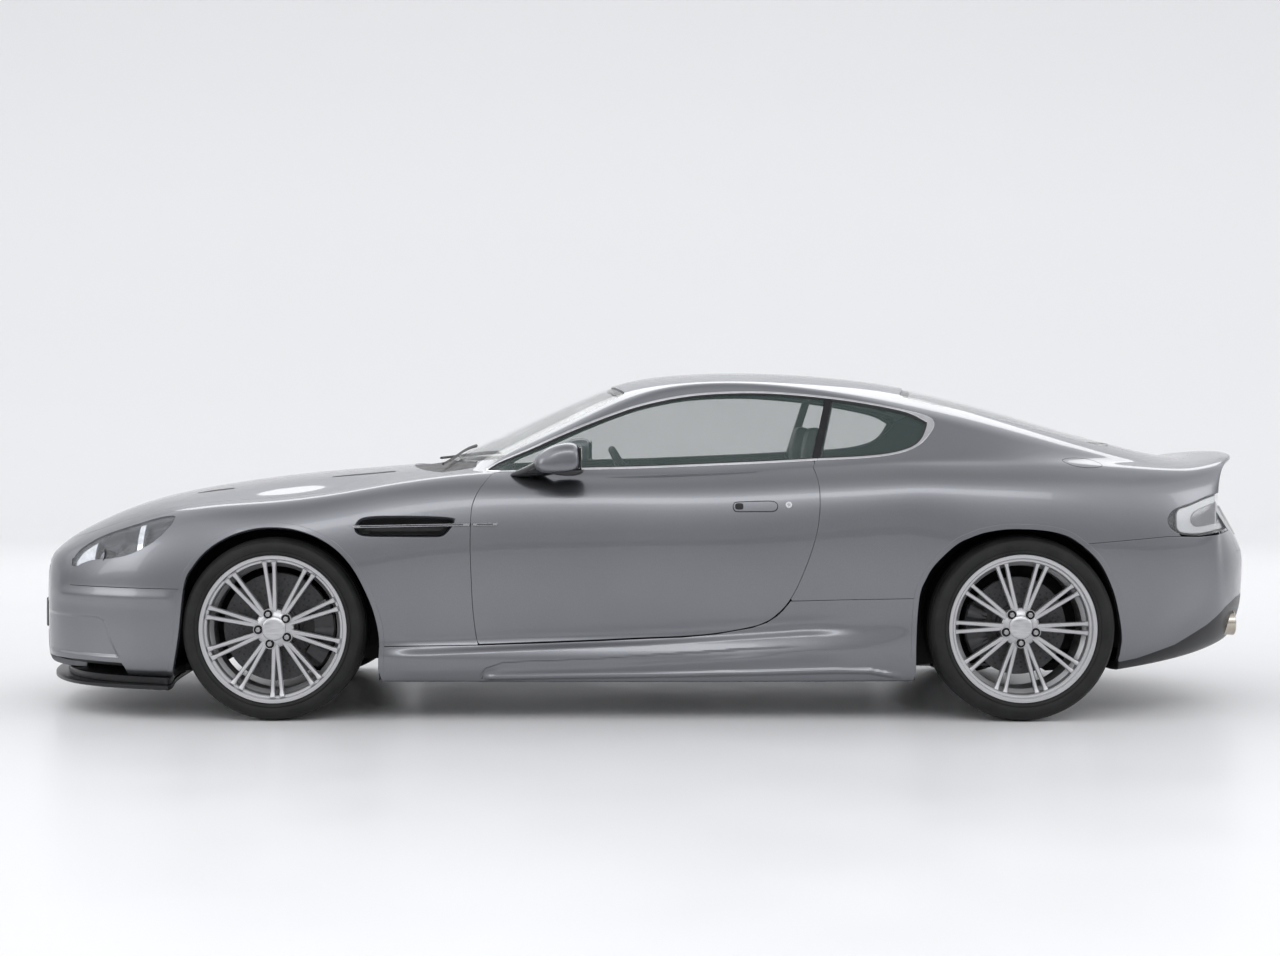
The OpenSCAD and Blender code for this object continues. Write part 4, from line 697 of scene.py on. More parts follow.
def plane_field(axis):
    """Fields for one axis: past an edge in millimetres, or short of it."""
    def at(edge, keep_above=True):
        sign = 1 if keep_above else -1
        return lambda p, n: sign * (p[:, axis] - edge / 1000)
    return at

at_x, at_y, at_z = (plane_field(axis) for axis in range(3))

GRID_CACHE = {}
def far(line, p, n):
    """The distance to a line, remembered for the grid itself, which every panel asks for."""
    if p is not GRID_P:
        return line.distance(p, n)
    if id(line) not in GRID_CACHE:
        GRID_CACHE[id(line)] = line.distance(p, n)
    return GRID_CACHE[id(line)]

def within(line, edge=0.0):
    """Inside a line by at least the edge distance, in millimetres."""
    return lambda p, n: far(line, p, n) - edge / 1000

def outside(line, edge=0.0):
    return lambda p, n: -far(line, p, n) - edge / 1000

def all_of(*fields, radius=0.004):
    return lambda p, n: soft_min([f(p, n) for f in fields], radius)

def any_of(*fields, radius=0.004):
    return lambda p, n: -soft_min([-f(p, n) for f in fields], radius)

# %% [markdown]
# ## Paint
# Metallic paint is a grey base full of tiny tilted flakes under a clear gloss coat. The flakes are a
# very fine cell pattern that turns the normal of the base a little, the coat stays smooth, and a slow
# drift of tone stands for the way the flakes lie.

# %% Body paint
def body_paint():
    mat, tree, shader, where = nodes_of("graphite_paint")
    flakes = tree.nodes.new("ShaderNodeTexVoronoi")
    flakes.inputs["Scale"].default_value = 1400
    tree.links.new(where, flakes.inputs["Vector"])
    flake_tone = tint(tree, flakes.outputs["Distance"], (0.166, 0.170, 0.182), (0.240, 0.246, 0.262),
                      0.0, 0.9)
    drift = noise_node(tree, where, 2.2, 3, 0.5)
    mix = tree.nodes.new("ShaderNodeMix")
    mix.data_type = "RGBA"
    mix.blend_type = "MULTIPLY"
    mix.inputs["Factor"].default_value = 1.0
    tree.links.new(flake_tone, mix.inputs[6])
    tree.links.new(tint(tree, drift, (0.93, 0.93, 0.94), (1.0, 1.0, 1.0)), mix.inputs[7])
    tree.links.new(mix.outputs[2], shader.inputs["Base Color"])
    tree.links.new(spread(tree, flakes.outputs["Distance"], 0.27, 0.36, 0.0, 0.9),
                   shader.inputs["Roughness"])
    shader.inputs["Metallic"].default_value = 0.86
    shader.inputs["Specular Tint"].default_value = (0.55, 0.56, 0.58, 1)
    shader.inputs["Coat Weight"].default_value = 0.8
    shader.inputs["Coat IOR"].default_value = 1.42
    shader.inputs["Coat Roughness"].default_value = 0.03
    bump(tree, shader, flakes.outputs["Distance"], 0.05, 0.0004)
    return mat

PAINT = body_paint()
GLOSS_BLACK = surface_finish("gloss_black", (0.006, 0.006, 0.007), (0.012, 0.012, 0.013), (0.16, 0.26),
                             grain=14, specular=0.32)
PLASTIC = surface_finish("black_plastic", (0.012, 0.012, 0.013), (0.022, 0.022, 0.023), (0.45, 0.62),
                         grain=30, grain_depth=0.0004, grain_size=900)
LINER = surface_finish("arch_liner", (0.010, 0.010, 0.010), (0.024, 0.023, 0.022), (0.72, 0.92),
                       grain=12, grain_depth=0.0012, grain_size=260)
CHROME = surface_finish("bright_trim", (0.56, 0.56, 0.58), (0.66, 0.66, 0.68), (0.06, 0.12), 1.0, 25)

def carbon():
    """Woven carbon: crossing tows seen as small squares, alternately light and dark, under a clear coat."""
    mat, tree, shader, where = nodes_of("carbon_weave")
    weave = tree.nodes.new("ShaderNodeTexChecker")
    weave.inputs["Scale"].default_value = 330
    turn = tree.nodes.new("ShaderNodeMapping")
    turn.inputs["Rotation"].default_value = (0.3, 0.35, math.radians(45))
    tree.links.new(where, turn.inputs["Vector"])
    tree.links.new(turn.outputs["Vector"], weave.inputs["Vector"])
    tree.links.new(tint(tree, weave.outputs["Fac"], (0.006, 0.006, 0.007), (0.020, 0.020, 0.022), 0, 1),
                   shader.inputs["Base Color"])
    tree.links.new(spread(tree, weave.outputs["Fac"], 0.38, 0.50, 0, 1), shader.inputs["Roughness"])
    shader.inputs["Specular IOR Level"].default_value = 0.25
    shader.inputs["Coat Weight"].default_value = 0.22
    shader.inputs["Coat Roughness"].default_value = 0.08
    return mat

CARBON = carbon()

# %% [markdown]
# ## Painted panels
# Wings, doors, roof, quarters, bonnet, boot lid, bumpers and sills are all cut from the one skin. The
# doors and the lids stand 4.6 mm from what they shut against, and bolted panels 2.4 mm.

# %% Cut the painted panels
SHUT, BOLTED = 4.6, 2.4
LIP = 0.0018
wing = all_of(outside(DOOR, SHUT), outside(BONNET, SHUT), outside(SCREEN, 2), outside(LAMP, 1.5),
              outside(ARCH_F), outside(NOSE, BOLTED), outside(SILL, BOLTED), outside(VENT),
              outside(GLASS, 1), at_x(-2174), at_x(-555, False), at_z(275), at_y(300),
              any_of(at_x(-960, False), at_y(640)), lambda p, n: -far(ROOF, p, n) - 0.0004)
pair("front_wing_{}_skin", wing, "body", "body_paint", PAINT, ["front_wing_{}"], depth=0.016, lip=LIP)
door_field = within(DOOR, 0)
pair("door_{}_skin", door_field, "door_{}_body", "body_paint", PAINT, ["door_{}"],
     depth=0.020, lip=LIP, closed=True)
quarter = all_of(outside(DOOR, SHUT), outside(SILL, BOLTED), outside(ARCH_R), outside(TAIL_END, BOLTED),
                 outside(TAIL, 1.5), outside(LID, SHUT), outside(REAR_GLASS, 2), outside(GLASS, 1),
                 lambda p, n: -far(ROOF, p, n) - 0.0008, at_x(500), at_z(440), at_y(250))
pair("rear_quarter_{}_skin", quarter, "body", "body_paint", PAINT, ["rear_quarter_{}"],
     depth=0.016, lip=LIP)
roof = all_of(within(ROOF, 0.4), outside(GLASS, 1), outside(SCREEN, 2), outside(REAR_GLASS, 2),
              outside(DOOR, SHUT))
panel("roof_skin", roof, "body", "body_paint", PAINT, ["roof"], depth=0.016, lip=LIP)
bonnet = all_of(within(BONNET, 0), at_z(560))
panel("bonnet_skin", bonnet, "bonnet_body", "body_paint", PAINT, ["bonnet"], depth=0.022, lip=LIP,
      closed=True)
lid = all_of(within(LID, 0), at_x(1800), at_z(600))
panel("boot_lid_skin", lid, "boot_lid_body", "body_paint", PAINT, ["boot_lid"], depth=0.008, lip=LIP,
      closed=True)
upper_mouth = lambda p, n: soft_min([0.415 - p[:, 1], p[:, 2] - 0.412, 0.556 - p[:, 2], -2.2 - p[:, 0]], 0.03)
lower_mouth = lambda p, n: soft_min([0.440 - p[:, 1], p[:, 2] - 0.196, 0.286 - p[:, 2], -2.2 - p[:, 0]], 0.03)
side_intake = all_of(within(INTAKE), at_y(470), at_x(-1900, False))
nose = all_of(any_of(within(NOSE, BOLTED), at_x(-2175, False)), lambda p, n: -side_intake(p, n),
              outside(BONNET, SHUT), outside(LAMP, 1.5), outside(ARCH_F),
              lambda p, n: -upper_mouth(p, n), lambda p, n: -lower_mouth(p, n), at_z(150))
panel("front_bumper_skin", nose, "body", "body_paint", PAINT, ["front_bumper"], depth=0.020, lip=LIP, fine=2)
tail_skin = all_of(within(TAIL_END, BOLTED), outside(DIFFUSER, 1), outside(TAIL, 1.5), outside(ARCH_R),
                   any_of(outside(LID, SHUT), at_z(596, False)), at_x(1500))
panel("rear_bumper_skin", tail_skin, "body", "body_paint", PAINT, ["rear_bumper"], depth=0.020, lip=LIP)
sill = all_of(within(SILL, BOLTED), outside(ARCH_F), outside(ARCH_R), at_y(640))
pair("sill_{}_skin", sill, "body", "body_paint", PAINT, ["side_sills"], depth=0.016, lip=LIP, fine=3)
diffuser = all_of(within(DIFFUSER, 0), outside(ARCH_R), at_x(1500))
panel("diffuser_skin", diffuser, "body", "black_composite", CARBON, ["diffuser"], depth=0.016, lip=LIP)

# %% [markdown]
# ## Floor and light
# One curved sheet is both floor and wall. A very large soft lamp above gives the bright shoulder,
# lower side lamps fill the flank, and strips at the ends catch the nose and the tail.

# %% Floor
bpy.ops.mesh.primitive_grid_add(x_subdivisions=8, y_subdivisions=40, size=1)
floor = bpy.context.active_object
floor.name = "floor"
for v in floor.data.vertices:
    along, back = v.co.x, v.co.y + 0.5
    run = back * 44 - 18
    y, z = run, 0.0
    if run > 12:
        turn = min((run - 12) / 6, math.pi / 2)
        y, z = 12 + 6 * math.sin(turn), 6 * (1 - math.cos(turn))
        z += max(0.0, run - 12 - 6 * math.pi / 2)
    v.co = (along * 70, y, z)
floor.data.polygons.foreach_set("use_smooth", [True] * len(floor.data.polygons))
def studio_paper():
    """Pale paper, with painted shade: darker on the floor near the car and under the lamps than on the far wall."""
    mat, tree, shader, where = nodes_of("studio_floor")
    split = tree.nodes.new("ShaderNodeSeparateXYZ")
    tree.links.new(where, split.inputs["Vector"])
    # Painted shade: the paper's colour runs from darker near the car to lighter on the far wall.
    painted_shade_ramp = spread(tree, split.outputs["Y"], 0.0, 1.0, 1.5, 9.0)
    tree.links.new(tint(tree, painted_shade_ramp, (0.80, 0.80, 0.805), (0.96, 0.96, 0.96), 0.0, 1.0),
                   shader.inputs["Base Color"])
    tree.links.new(spread(tree, noise_node(tree, where, 1.5), 0.30, 0.36), shader.inputs["Roughness"])
    shader.inputs["Specular IOR Level"].default_value = 0.3
    return mat

floor.data.materials.append(studio_paper())

# %% Lamps, and surroundings in bands: dark near the ground, bright above, dimmer overhead
def soft_lamp(name, place, aim, size, power, color=(1, 1, 1)):
    data = bpy.data.lights.new(name, "AREA")
    data.shape = "RECTANGLE"
    data.size, data.size_y = size
    data.energy = power
    data.color = color
    lamp = new_object(name, data)
    lamp.location = place
    lamp.rotation_euler = (Vector(aim) - Vector(place)).to_track_quat("-Z", "Y").to_euler()
    return lamp

soft_lamp("top_lamp", (-0.3, -0.7, 5.2), (-0.3, 0, 0), (8.5, 4.4), 28)
soft_lamp("side_lamp", (0, -7.5, 5.6), (0, 0, 0.4), (9, 1.8), 115)
soft_lamp("far_side_lamp", (0, 8.0, 5.6), (0, 0, 0.5), (10, 2.4), 150)
soft_lamp("nose_lamp", (-8, -3, 3.2), (-1.5, 0, 0.5), (3, 3), 60)
soft_lamp("tail_lamp", (8, -3, 3.2), (1.5, 0, 0.5), (3, 3), 60)
world = bpy.context.scene.world or bpy.data.worlds.new("studio")
bpy.context.scene.world = world
world.use_nodes = True
sky = world.node_tree
direction = sky.nodes.new("ShaderNodeTexCoord")
parts = sky.nodes.new("ShaderNodeSeparateXYZ")
sky.links.new(direction.outputs["Generated"], parts.inputs["Vector"])
bands = sky.nodes.new("ShaderNodeValToRGB")
for height, tone in ((0.0, 0.38), (0.08, 0.40), (0.38, 1.0), (0.78, 1.08), (0.92, 0.50)):
    stop = bands.color_ramp.elements.new(height)
    stop.color = (tone, tone * 1.01, tone * 1.04, 1)
bands.color_ramp.elements[-1].color = (0.34, 0.345, 0.36, 1)
sky.links.new(parts.outputs["Z"], bands.inputs["Fac"])
sky.links.new(bands.outputs["Color"], sky.nodes["Background"].inputs["Color"])
sky.nodes["Background"].inputs["Strength"].default_value = 1.12
bpy.context.scene.view_settings.view_transform = "Standard"

# %% [markdown]
# ## Inner walls
# Behind each skin a real car has inner panels: door jambs, wheel wells, the undersides of the wings.
# The CAD solids already hold these at the right place. A copy of each solid is merged, the faces that
# lie on the outer skin are taken off, because the smooth skin stands there now, and the points next
# to the skin are drawn in a little so that nothing shows through.

# %% Inner walls from the CAD solids
def skin_tree():
    """A search tree of the outer skin, on both sides of the car."""
    flip = np.array([1, -1, 1])
    pts = np.concatenate([GRID_P, GRID_P * flip])
    q = np.arange(NU * NV).reshape(NU, NV)
    quads = np.stack([q[:-1, :-1], q[:-1, 1:], q[1:, 1:], q[1:, :-1]], -1).reshape(-1, 4)
    faces = np.concatenate([quads, (quads + NU * NV)[:, ::-1]])
    return BVHTree.FromPolygons([Vector(p) for p in pts], [tuple(int(k) for k in f) for f in faces])

SKIN_TREE = skin_tree()

def inner_walls(node, mat, body="body", reach=0.006, pull=0.003, keep=None):
    """A CAD solid without its outer faces: reach is how near the skin a point counts as lying on it."""
    mesh = frame["nodes"][node].data.copy()
    obj = new_object(node + "_inner", mesh)
    bm = bmesh.new()
    bm.from_mesh(mesh)
    bmesh.ops.remove_doubles(bm, verts=bm.verts, dist=2e-5)
    near = {}
    for v in bm.verts:
        co, nrm, _, dist = SKIN_TREE.find_nearest(v.co)
        if dist < reach or (v.co - co).dot(nrm) > 0:
            near[v] = (co, nrm)
    gone = []
    for f in bm.faces:
        if all(v in near for v in f.verts):
            if f.normal.dot(near[f.verts[0]][1]) > 0.75:
                gone.append(f)
    for v, (co, nrm) in near.items():
        v.co = co - nrm * pull
    bmesh.ops.delete(bm, geom=gone, context="FACES")
    if keep:
        bmesh.ops.delete(bm, geom=[f for f in bm.faces if not keep(f.calc_center_median())],
                         context="FACES")
    bm.to_mesh(mesh)
    bm.free()
    finish_piece(obj, node + "_inner", body, mat, [node], smooth=30)
    print(obj.name, len(mesh.polygons), "faces")
    return obj

UNDERSIDE = surface_finish("painted_inner_metal", (0.075, 0.077, 0.080), (0.105, 0.107, 0.110), (0.42, 0.58),
                           metallic=0.4, grain=9, grain_depth=0.0005, grain_size=500)
for side in ("right", "left"):
    inner_walls(f"front_wing_{side}", LINER)
    inner_walls(f"rear_quarter_{side}", LINER)
inner_walls("side_sills", UNDERSIDE, reach=0.020)
inner_walls("front_bumper", LINER)
inner_walls("rear_bumper", LINER)
inner_walls("diffuser", LINER)

# %% Wheel well liners
def arch_liner(name, line, cx, cz, inner, grow, low):
    """A dark shell that follows the arch, runs in behind the wheel and is closed by a flat wall."""
    fore = line.points[:, 0] < cx
    outline = line.points[line.points[:, 1] > np.where(fore, *low)]
    angle = np.arctan2(outline[:, 1] - cz, outline[:, 0] - cx)
    outline = outline[np.argsort(np.mod(angle + math.pi / 2, 2 * math.pi))]
    for side, sign in SIDES:
        rows = []
        for depth, gx, gz in ((0.012, 1.012, 1.004), (0.05, *grow), (None, *grow)):
            row = []
            for x, z in outline:
                hit = SKIN_TREE.ray_cast(Vector((x, 2, z)), Vector((0, -1, 0)))[0]
                y = inner if depth is None else (hit.y if hit else 0.88) - depth
                row.append((cx + (x - cx) * gx, sign * y, cz + (z - cz) * gz))
            rows.append(row)
        n = len(outline)
        points = [p for row in rows for p in row]
        faces = [(r * n + k, r * n + k + 1, r * n + n + k + 1, r * n + n + k)
                 for r in (0, 1) for k in range(n - 1)]
        faces.append(tuple(range(2 * n, 3 * n)))
        obj = mesh_piece(name.format(side), points, faces if sign > 0 else [f[::-1] for f in faces])
        finish_piece(obj, name.format(side), "body", LINER, [], smooth=30)

arch_liner("front_well_{}", ARCH_F, -1.376, 0.336, 0.462, (1.12, 1.01), (0.165, 0.135))
arch_liner("rear_well_{}", ARCH_R, 1.364, 0.340, 0.604, (1.03, 1.01), (0.150, 0.24))

# %% [markdown]
# ## Glass, seals and bright trim
# Car glass is a thin green-tinted sheet that lets most light straight through, so its finish is mostly
# see-through with a sharp reflection. It is cut from the same skin, set in a little, with a black
# rubber seal and a bright strip round the side windows that is widest at the rear corner.

# %% Glass, seals and strips
def glass(name, color, alpha, rough=0.01):
    mat, tree, shader, where = nodes_of(name)
    drift = noise_node(tree, where, 3.0, 2, 0.5)
    tree.links.new(tint(tree, drift, tuple(c * 0.94 for c in color), color), shader.inputs["Base Color"])
    tree.links.new(spread(tree, drift, rough, rough * 1.6), shader.inputs["Roughness"])
    shader.inputs["Alpha"].default_value = alpha
    shader.inputs["Specular IOR Level"].default_value = 0.9
    shader.inputs["Coat Weight"].default_value = 1.0
    shader.inputs["Coat Roughness"].default_value = 0.01
    mat.surface_render_method = "BLENDED"
    return mat

GLASS_TINT = glass("green_glass", (0.09, 0.14, 0.13), 0.20)
LAMP_CLEAR = glass("lamp_cover_clear", (0.80, 0.82, 0.84), 0.07)
RUBBER = surface_finish("seal_rubber", (0.010, 0.010, 0.010), (0.020, 0.020, 0.020), (0.5, 0.7),
                        grain=40, grain_depth=0.0003, grain_size=1200)
FRIT = surface_finish("black_glass_edge", (0.006, 0.006, 0.007), (0.011, 0.011, 0.012), (0.05, 0.10), grain=8)

def strip_width(p):
    """The bright strip is 7 mm wide and swells to nearly four times that at the rear corner."""
    corner = (p[:, 0] - 1.052) ** 2 + (p[:, 2] - 1.098) ** 2
    return 0.0068 + 0.020 * np.exp(-corner / 0.060 ** 2)

def post_x(p):
    return 0.594 + 0.27 * (p[:, 2] - 0.9)

def before_post(gap):
    return lambda p, n: post_x(p) - gap / 1000 - p[:, 0]

def after_post(gap):
    return lambda p, n: p[:, 0] - post_x(p) - gap / 1000

def in_frame(inset):
    """Inside the bright strip by a further inset in millimetres."""
    return lambda p, n: far(GLASS, p, n) - strip_width(p) - inset / 1000

BELT = Line([[-640, 890], [-640, 930], [-540, 934], [-394, 938], [-34, 946], [249, 957], [430, 965],
             [600, 975], [700, 985], [700, 900]], smooth=0)
strip = all_of(within(GLASS, 0.2), lambda p, n: strip_width(p) - far(GLASS, p, n), radius=0.001)
top_strip = all_of(strip, outside(BELT, 1.0), radius=0.001)
belt_strip = all_of(strip, within(BELT, 0.5), before_post(-14), radius=0.001)
rear_strip = all_of(strip, within(BELT, 0.5), after_post(17), radius=0.001)
pair("window_strip_{}", top_strip, "body", "grille_metal", CHROME, lift=0.0016, depth=0.007,
     lip=0.0016, fine=4)
pair("belt_strip_{}", belt_strip, "door_{}_body", "grille_metal", CHROME, lift=0.0016, depth=0.007,
     lip=0.0016, fine=4)
pair("rear_belt_strip_{}", rear_strip, "body", "grille_metal", CHROME, lift=0.0016, depth=0.007,
     lip=0.0016, fine=4)
door_seal = all_of(in_frame(0.2), lambda p, n: 0.006 - (far(GLASS, p, n) - strip_width(p)), before_post(0),
                   radius=0.001)
rear_seal = all_of(in_frame(0.2), lambda p, n: 0.008 - (far(GLASS, p, n) - strip_width(p)), after_post(17),
                   radius=0.001)
pair("window_seal_{}", door_seal, "body", "black_trim", RUBBER, lift=-0.001, depth=0.010, lip=0.001, fine=4)
pair("rear_window_seal_{}", rear_seal, "body", "black_trim", RUBBER, lift=-0.001, depth=0.010, lip=0.001, fine=4)
pair("door_glass_{}_pane", all_of(in_frame(1.5), before_post(7)), "door_{}_body", "window_glass", GLASS_TINT,
     ["door_glass_{}"], lift=-0.003, depth=0.007, lip=0.0006, closed=True)
pair("quarter_glass_{}", all_of(in_frame(2), after_post(21)), "body", "window_glass", GLASS_TINT,
     ["quarter_windows"], lift=-0.003, depth=0.007, lip=0.0006, closed=True)
pair("window_post_{}", all_of(in_frame(0.2), after_post(-3), before_post(-22), radius=0.002), "body",
     "black_trim", GLOSS_BLACK, lift=-0.0005, depth=0.016, lip=0.0015,
     fine=2)

panel("windscreen_pane", within(SCREEN, 0.5), "body", "window_glass", GLASS_TINT, ["windscreen"],
      lift=-0.001, depth=0.006, lip=0.001, closed=True)
panel("windscreen_edge", all_of(within(SCREEN, 1), lambda p, n: 0.022 - far(SCREEN, p, n), radius=0.002),
      "body", "black_trim", FRIT, lift=-0.008, depth=0.010, lip=0.0006, fine=2)
panel("rear_window_pane", within(REAR_GLASS, 0.5), "body", "window_glass", GLASS_TINT, ["rear_window"],
      lift=-0.001, depth=0.006, lip=0.001, closed=True)
panel("rear_window_edge", all_of(within(REAR_GLASS, 1), lambda p, n: 0.030 - far(REAR_GLASS, p, n),
                                 radius=0.002),
      "body", "black_trim", FRIT, lift=-0.008, depth=0.010, lip=0.0006, fine=2)
cowl = all_of(outside(BONNET, 3), outside(SCREEN, 1), at_x(-1000), at_x(-600, False), at_y(648, False),
              at_z(870))
panel("cowl_cover", cowl, "body", "black_trim", PLASTIC, ["cowl_panel"], lift=-0.007, depth=0.020, lip=0.002)

# %% [markdown]
# ## Wheels
# A forged wheel is a turned barrel with pairs of thin ribs between hub and lip. The barrel, the tyre
# and the disc are profiles turned once round the axle; the two ribs of a pair are lofted and copied
# ten times round.
# Everything is made about the axle at the origin, facing +Y, and then set on each corner.

# %% Turning and lofting
def lathe(profile, steps=96, closed=True):
    """Turn a profile of (radius, across) points round the Y axis into a solid ring."""
    mesh = bpy.data.meshes.new("profile")
    pts = [(r, y, 0) for r, y in profile]
    edges = [(k, k + 1) for k in range(len(pts) - 1)] + ([(len(pts) - 1, 0)] if closed else [])
    mesh.from_pydata(pts, edges, [])
    obj = pick(new_object("turned", mesh))
    bpy.ops.object.mode_set(mode="EDIT")
    bpy.ops.mesh.select_all(action="SELECT")
    bpy.ops.mesh.spin(steps=steps, angle=2 * math.pi, center=(0, 0, 0), axis=(0, 1, 0))
    bpy.ops.mesh.select_all(action="SELECT")
    bpy.ops.mesh.remove_doubles(threshold=1e-5)
    bpy.ops.mesh.normals_make_consistent(inside=False)
    bpy.ops.object.mode_set(mode="OBJECT")
    return obj

def loft(rings):
    """Join rings of points, one after another, into a closed tube with capped ends."""
    count = len(rings[0])
    pts = [p for ring in rings for p in ring]
    faces = [tuple(range(count))[::-1], tuple(range(len(pts) - count, len(pts)))]
    for k in range(len(rings) - 1):
        for m in range(count):
            a, b = k * count + m, k * count + (m + 1) % count
            faces.append((a, b, b + count, a + count))
    mesh = bpy.data.meshes.new("loft")
    mesh.from_pydata(pts, [], faces)
    obj = pick(new_object("loft", mesh))
    bpy.ops.object.mode_set(mode="EDIT")
    bpy.ops.mesh.select_all(action="SELECT")
    bpy.ops.mesh.normals_make_consistent(inside=False)
    bpy.ops.object.mode_set(mode="OBJECT")
    return obj

def joined(objects):
    deselect()
    for o in objects:
        o.select_set(True)
    bpy.context.view_layer.objects.active = objects[0]
    bpy.ops.object.join()
    return objects[0]

def placed_copy(obj, matrix, name):
    """A copy with its own mesh, moved by a matrix; a mirrored copy has its faces turned back."""
    copy = new_object(name, obj.data.copy())
    copy.data.transform(matrix)
    if matrix.determinant() < 0:
        copy.data.flip_normals()
    return copy

def both_copies(obj, name, body, mat, nodes=(), smooth=30, place=Matrix()):
    """A piece made for the right side, put in place there and mirrored to the left; {} becomes the side."""
    for side, sign in SIDES:
        piece = placed_copy(obj, Matrix.Diagonal((1, sign, 1, 1)) @ place, name.format(side))
        finish_piece(piece, name.format(side), body.format(side), mat,
                     [n.format(side) for n in nodes], smooth)
    bpy.data.objects.remove(obj)

def turn_y(degrees):
    return Matrix.Rotation(math.radians(degrees), 4, "Y")

# %% The rim, its ribs and the hub
RIM_R = 0.271
NUT_CIRCLE, NUT_START = 0.05715, -18
def rib(side_sign):
    """One thin rib from hub to lip, leaning away from its twin."""
    rings = []
    for k in range(11):
        t = k / 10
        r = 0.040 + t * 0.207
        apart = side_sign * (0.0084 * min(r / 0.106, 1) + 0.0094 * max(0.0, (r - 0.106) / 0.141))
        wide = 0.0086 - 0.0010 * t + 0.0035 * max(0, (t - 0.9) * 10) ** 2
        face = 0.078 + 0.026 * t ** 1.4 + 0.003 * max(0, t - 0.9) * 10
        deep = 0.040 - 0.014 * t
        ring = [(apart - wide, face - 0.0045), (apart - wide + 0.0028, face - 0.0006), (apart, face + 0.0004),
                (apart + wide - 0.0028, face - 0.0006), (apart + wide, face - 0.0045),
                (apart + wide * 0.8, face - deep), (apart - wide * 0.8, face - deep)]
        rings.append([(x, y, r) for x, y in ring])
    return loft(rings)

def rim_mesh(width):
    b = width / 2 - 0.014
    r = RIM_R
    barrel = [(r, b - 0.002), (r, b + 0.0045), (r - 0.001, b + 0.006), (r - 0.004, b + 0.0062),
              (r - 0.0135, b + 0.0045), (r - 0.0155, b + 0.0020), (r - 0.0165, b - 0.006), (r - 0.0185, b - 0.0115),
              (r - 0.022, b - 0.0125), (r - 0.0255, b - 0.0125), (r - 0.028, b - 0.016), (r - 0.0300, b - 0.050),
              (r - 0.044, b - 0.066), (r - 0.044, -b + 0.066), (r - 0.026, -b + 0.044), (r - 0.018, -b - 0.006),
              (r, -b - 0.006), (r, -b + 0.002), (r - 0.0143, -b + 0.010), (r - 0.0143, -b + 0.045),
              (r - 0.034, -b + 0.060), (r - 0.034, b - 0.060), (r - 0.0143, b - 0.045), (r - 0.0143, b - 0.010)]
    parts = [lathe(barrel, 120)]
    ribs = [rib(1), rib(-1)]
    for k in range(10):
        for one in ribs:
            parts.append(placed_copy(one, turn_y(36 * k), "rib"))
    for one in ribs:
        bpy.data.objects.remove(one)
    hub = [(0.0, 0.036), (0.062, 0.036), (0.072, 0.044), (0.074, 0.058), (0.070, 0.072), (0.060, 0.0800),
           (0.047, 0.0850), (0.0445, 0.0855), (0.0445, 0.082), (0.0, 0.082)]
    parts.append(lathe(hub, 96, closed=False))
    for k in range(5):
        well = lathe([(0.0165, 0.0850), (0.0168, 0.0878), (0.0185, 0.0880), (0.0195, 0.0860), (0.0195, 0.050),
                      (0.0165, 0.050)], 32)
        well.data.transform(turn_y(72 * k + NUT_START) @ Matrix.Translation((0, 0, NUT_CIRCLE)))
        parts.append(well)
    return joined(parts)

def well_mesh():
    """The floors of the five wells that the nuts stand in, which get a near-black finish as painted shade."""
    parts = []
    for k in range(5):
        cup = lathe([(0.0, 0.0858), (0.0150, 0.0858), (0.0166, 0.0870), (0.0166, 0.060), (0.0, 0.060)],
                    32, closed=False)
        cup.data.transform(turn_y(72 * k + NUT_START) @ Matrix.Translation((0, 0, NUT_CIRCLE)))
        parts.append(cup)
    return joined(parts)

def nut_mesh():
    """A hexagon nut with bevelled edges, five times round."""
    parts = []
    for k in range(5):
        bpy.ops.mesh.primitive_cylinder_add(vertices=6, radius=0.0098, depth=0.020)
        nut = bpy.context.active_object
        nut.data.transform(Matrix.Rotation(math.radians(-90), 4, "X"))
        nut.data.transform(turn_y(72 * k + NUT_START) @ Matrix.Translation((0, 0.0855, NUT_CIRCLE)))
        parts.append(applied(nut, "BEVEL", width=0.0012, segments=2))
    return joined(parts)

def cap_mesh():
    return lathe([(0.0, 0.0925), (0.030, 0.0920), (0.040, 0.0902), (0.0432, 0.0875), (0.0436, 0.080),
                  (0.0, 0.080)], 72, closed=False)

def tyre_mesh(radius, width):
    """A low tyre: bead, rim guard, bulged wall, rounded shoulder and a grooved tread."""
    r, h = radius, width / 2
    wall = [(RIM_R - 0.012, h - 0.030), (RIM_R + 0.0010, h - 0.0166), (RIM_R + 0.0015, h - 0.0075),
            (RIM_R + 0.004, h - 0.0042), (RIM_R + 0.0085, h - 0.0012), (RIM_R + 0.0125, h - 0.0012),
            (RIM_R + 0.0145, h - 0.0040), (RIM_R + 0.022, h - 0.0010), (RIM_R + 0.031, h + 0.0002),
            (r - 0.026, h - 0.0015), (r - 0.0175, h - 0.0060), (r - 0.0165, h - 0.0075),
            (r - 0.0155, h - 0.0072), (r - 0.0085, h - 0.0160), (r - 0.0045, h - 0.0265), (r - 0.0028, h - 0.036)]
    tread = [(r - 0.0020, h - 0.042), (r - 0.0095, h - 0.0425), (r - 0.0095, h - 0.0495), (r - 0.0012, h - 0.050),
             (r - 0.0002, h - 0.083), (r - 0.0090, h - 0.0835), (r - 0.0090, h - 0.0925), (r, h - 0.093)]
    outer = wall + tread
    profile = outer + [(a, -y) for a, y in reversed(outer)]
    return lathe(profile, 144)

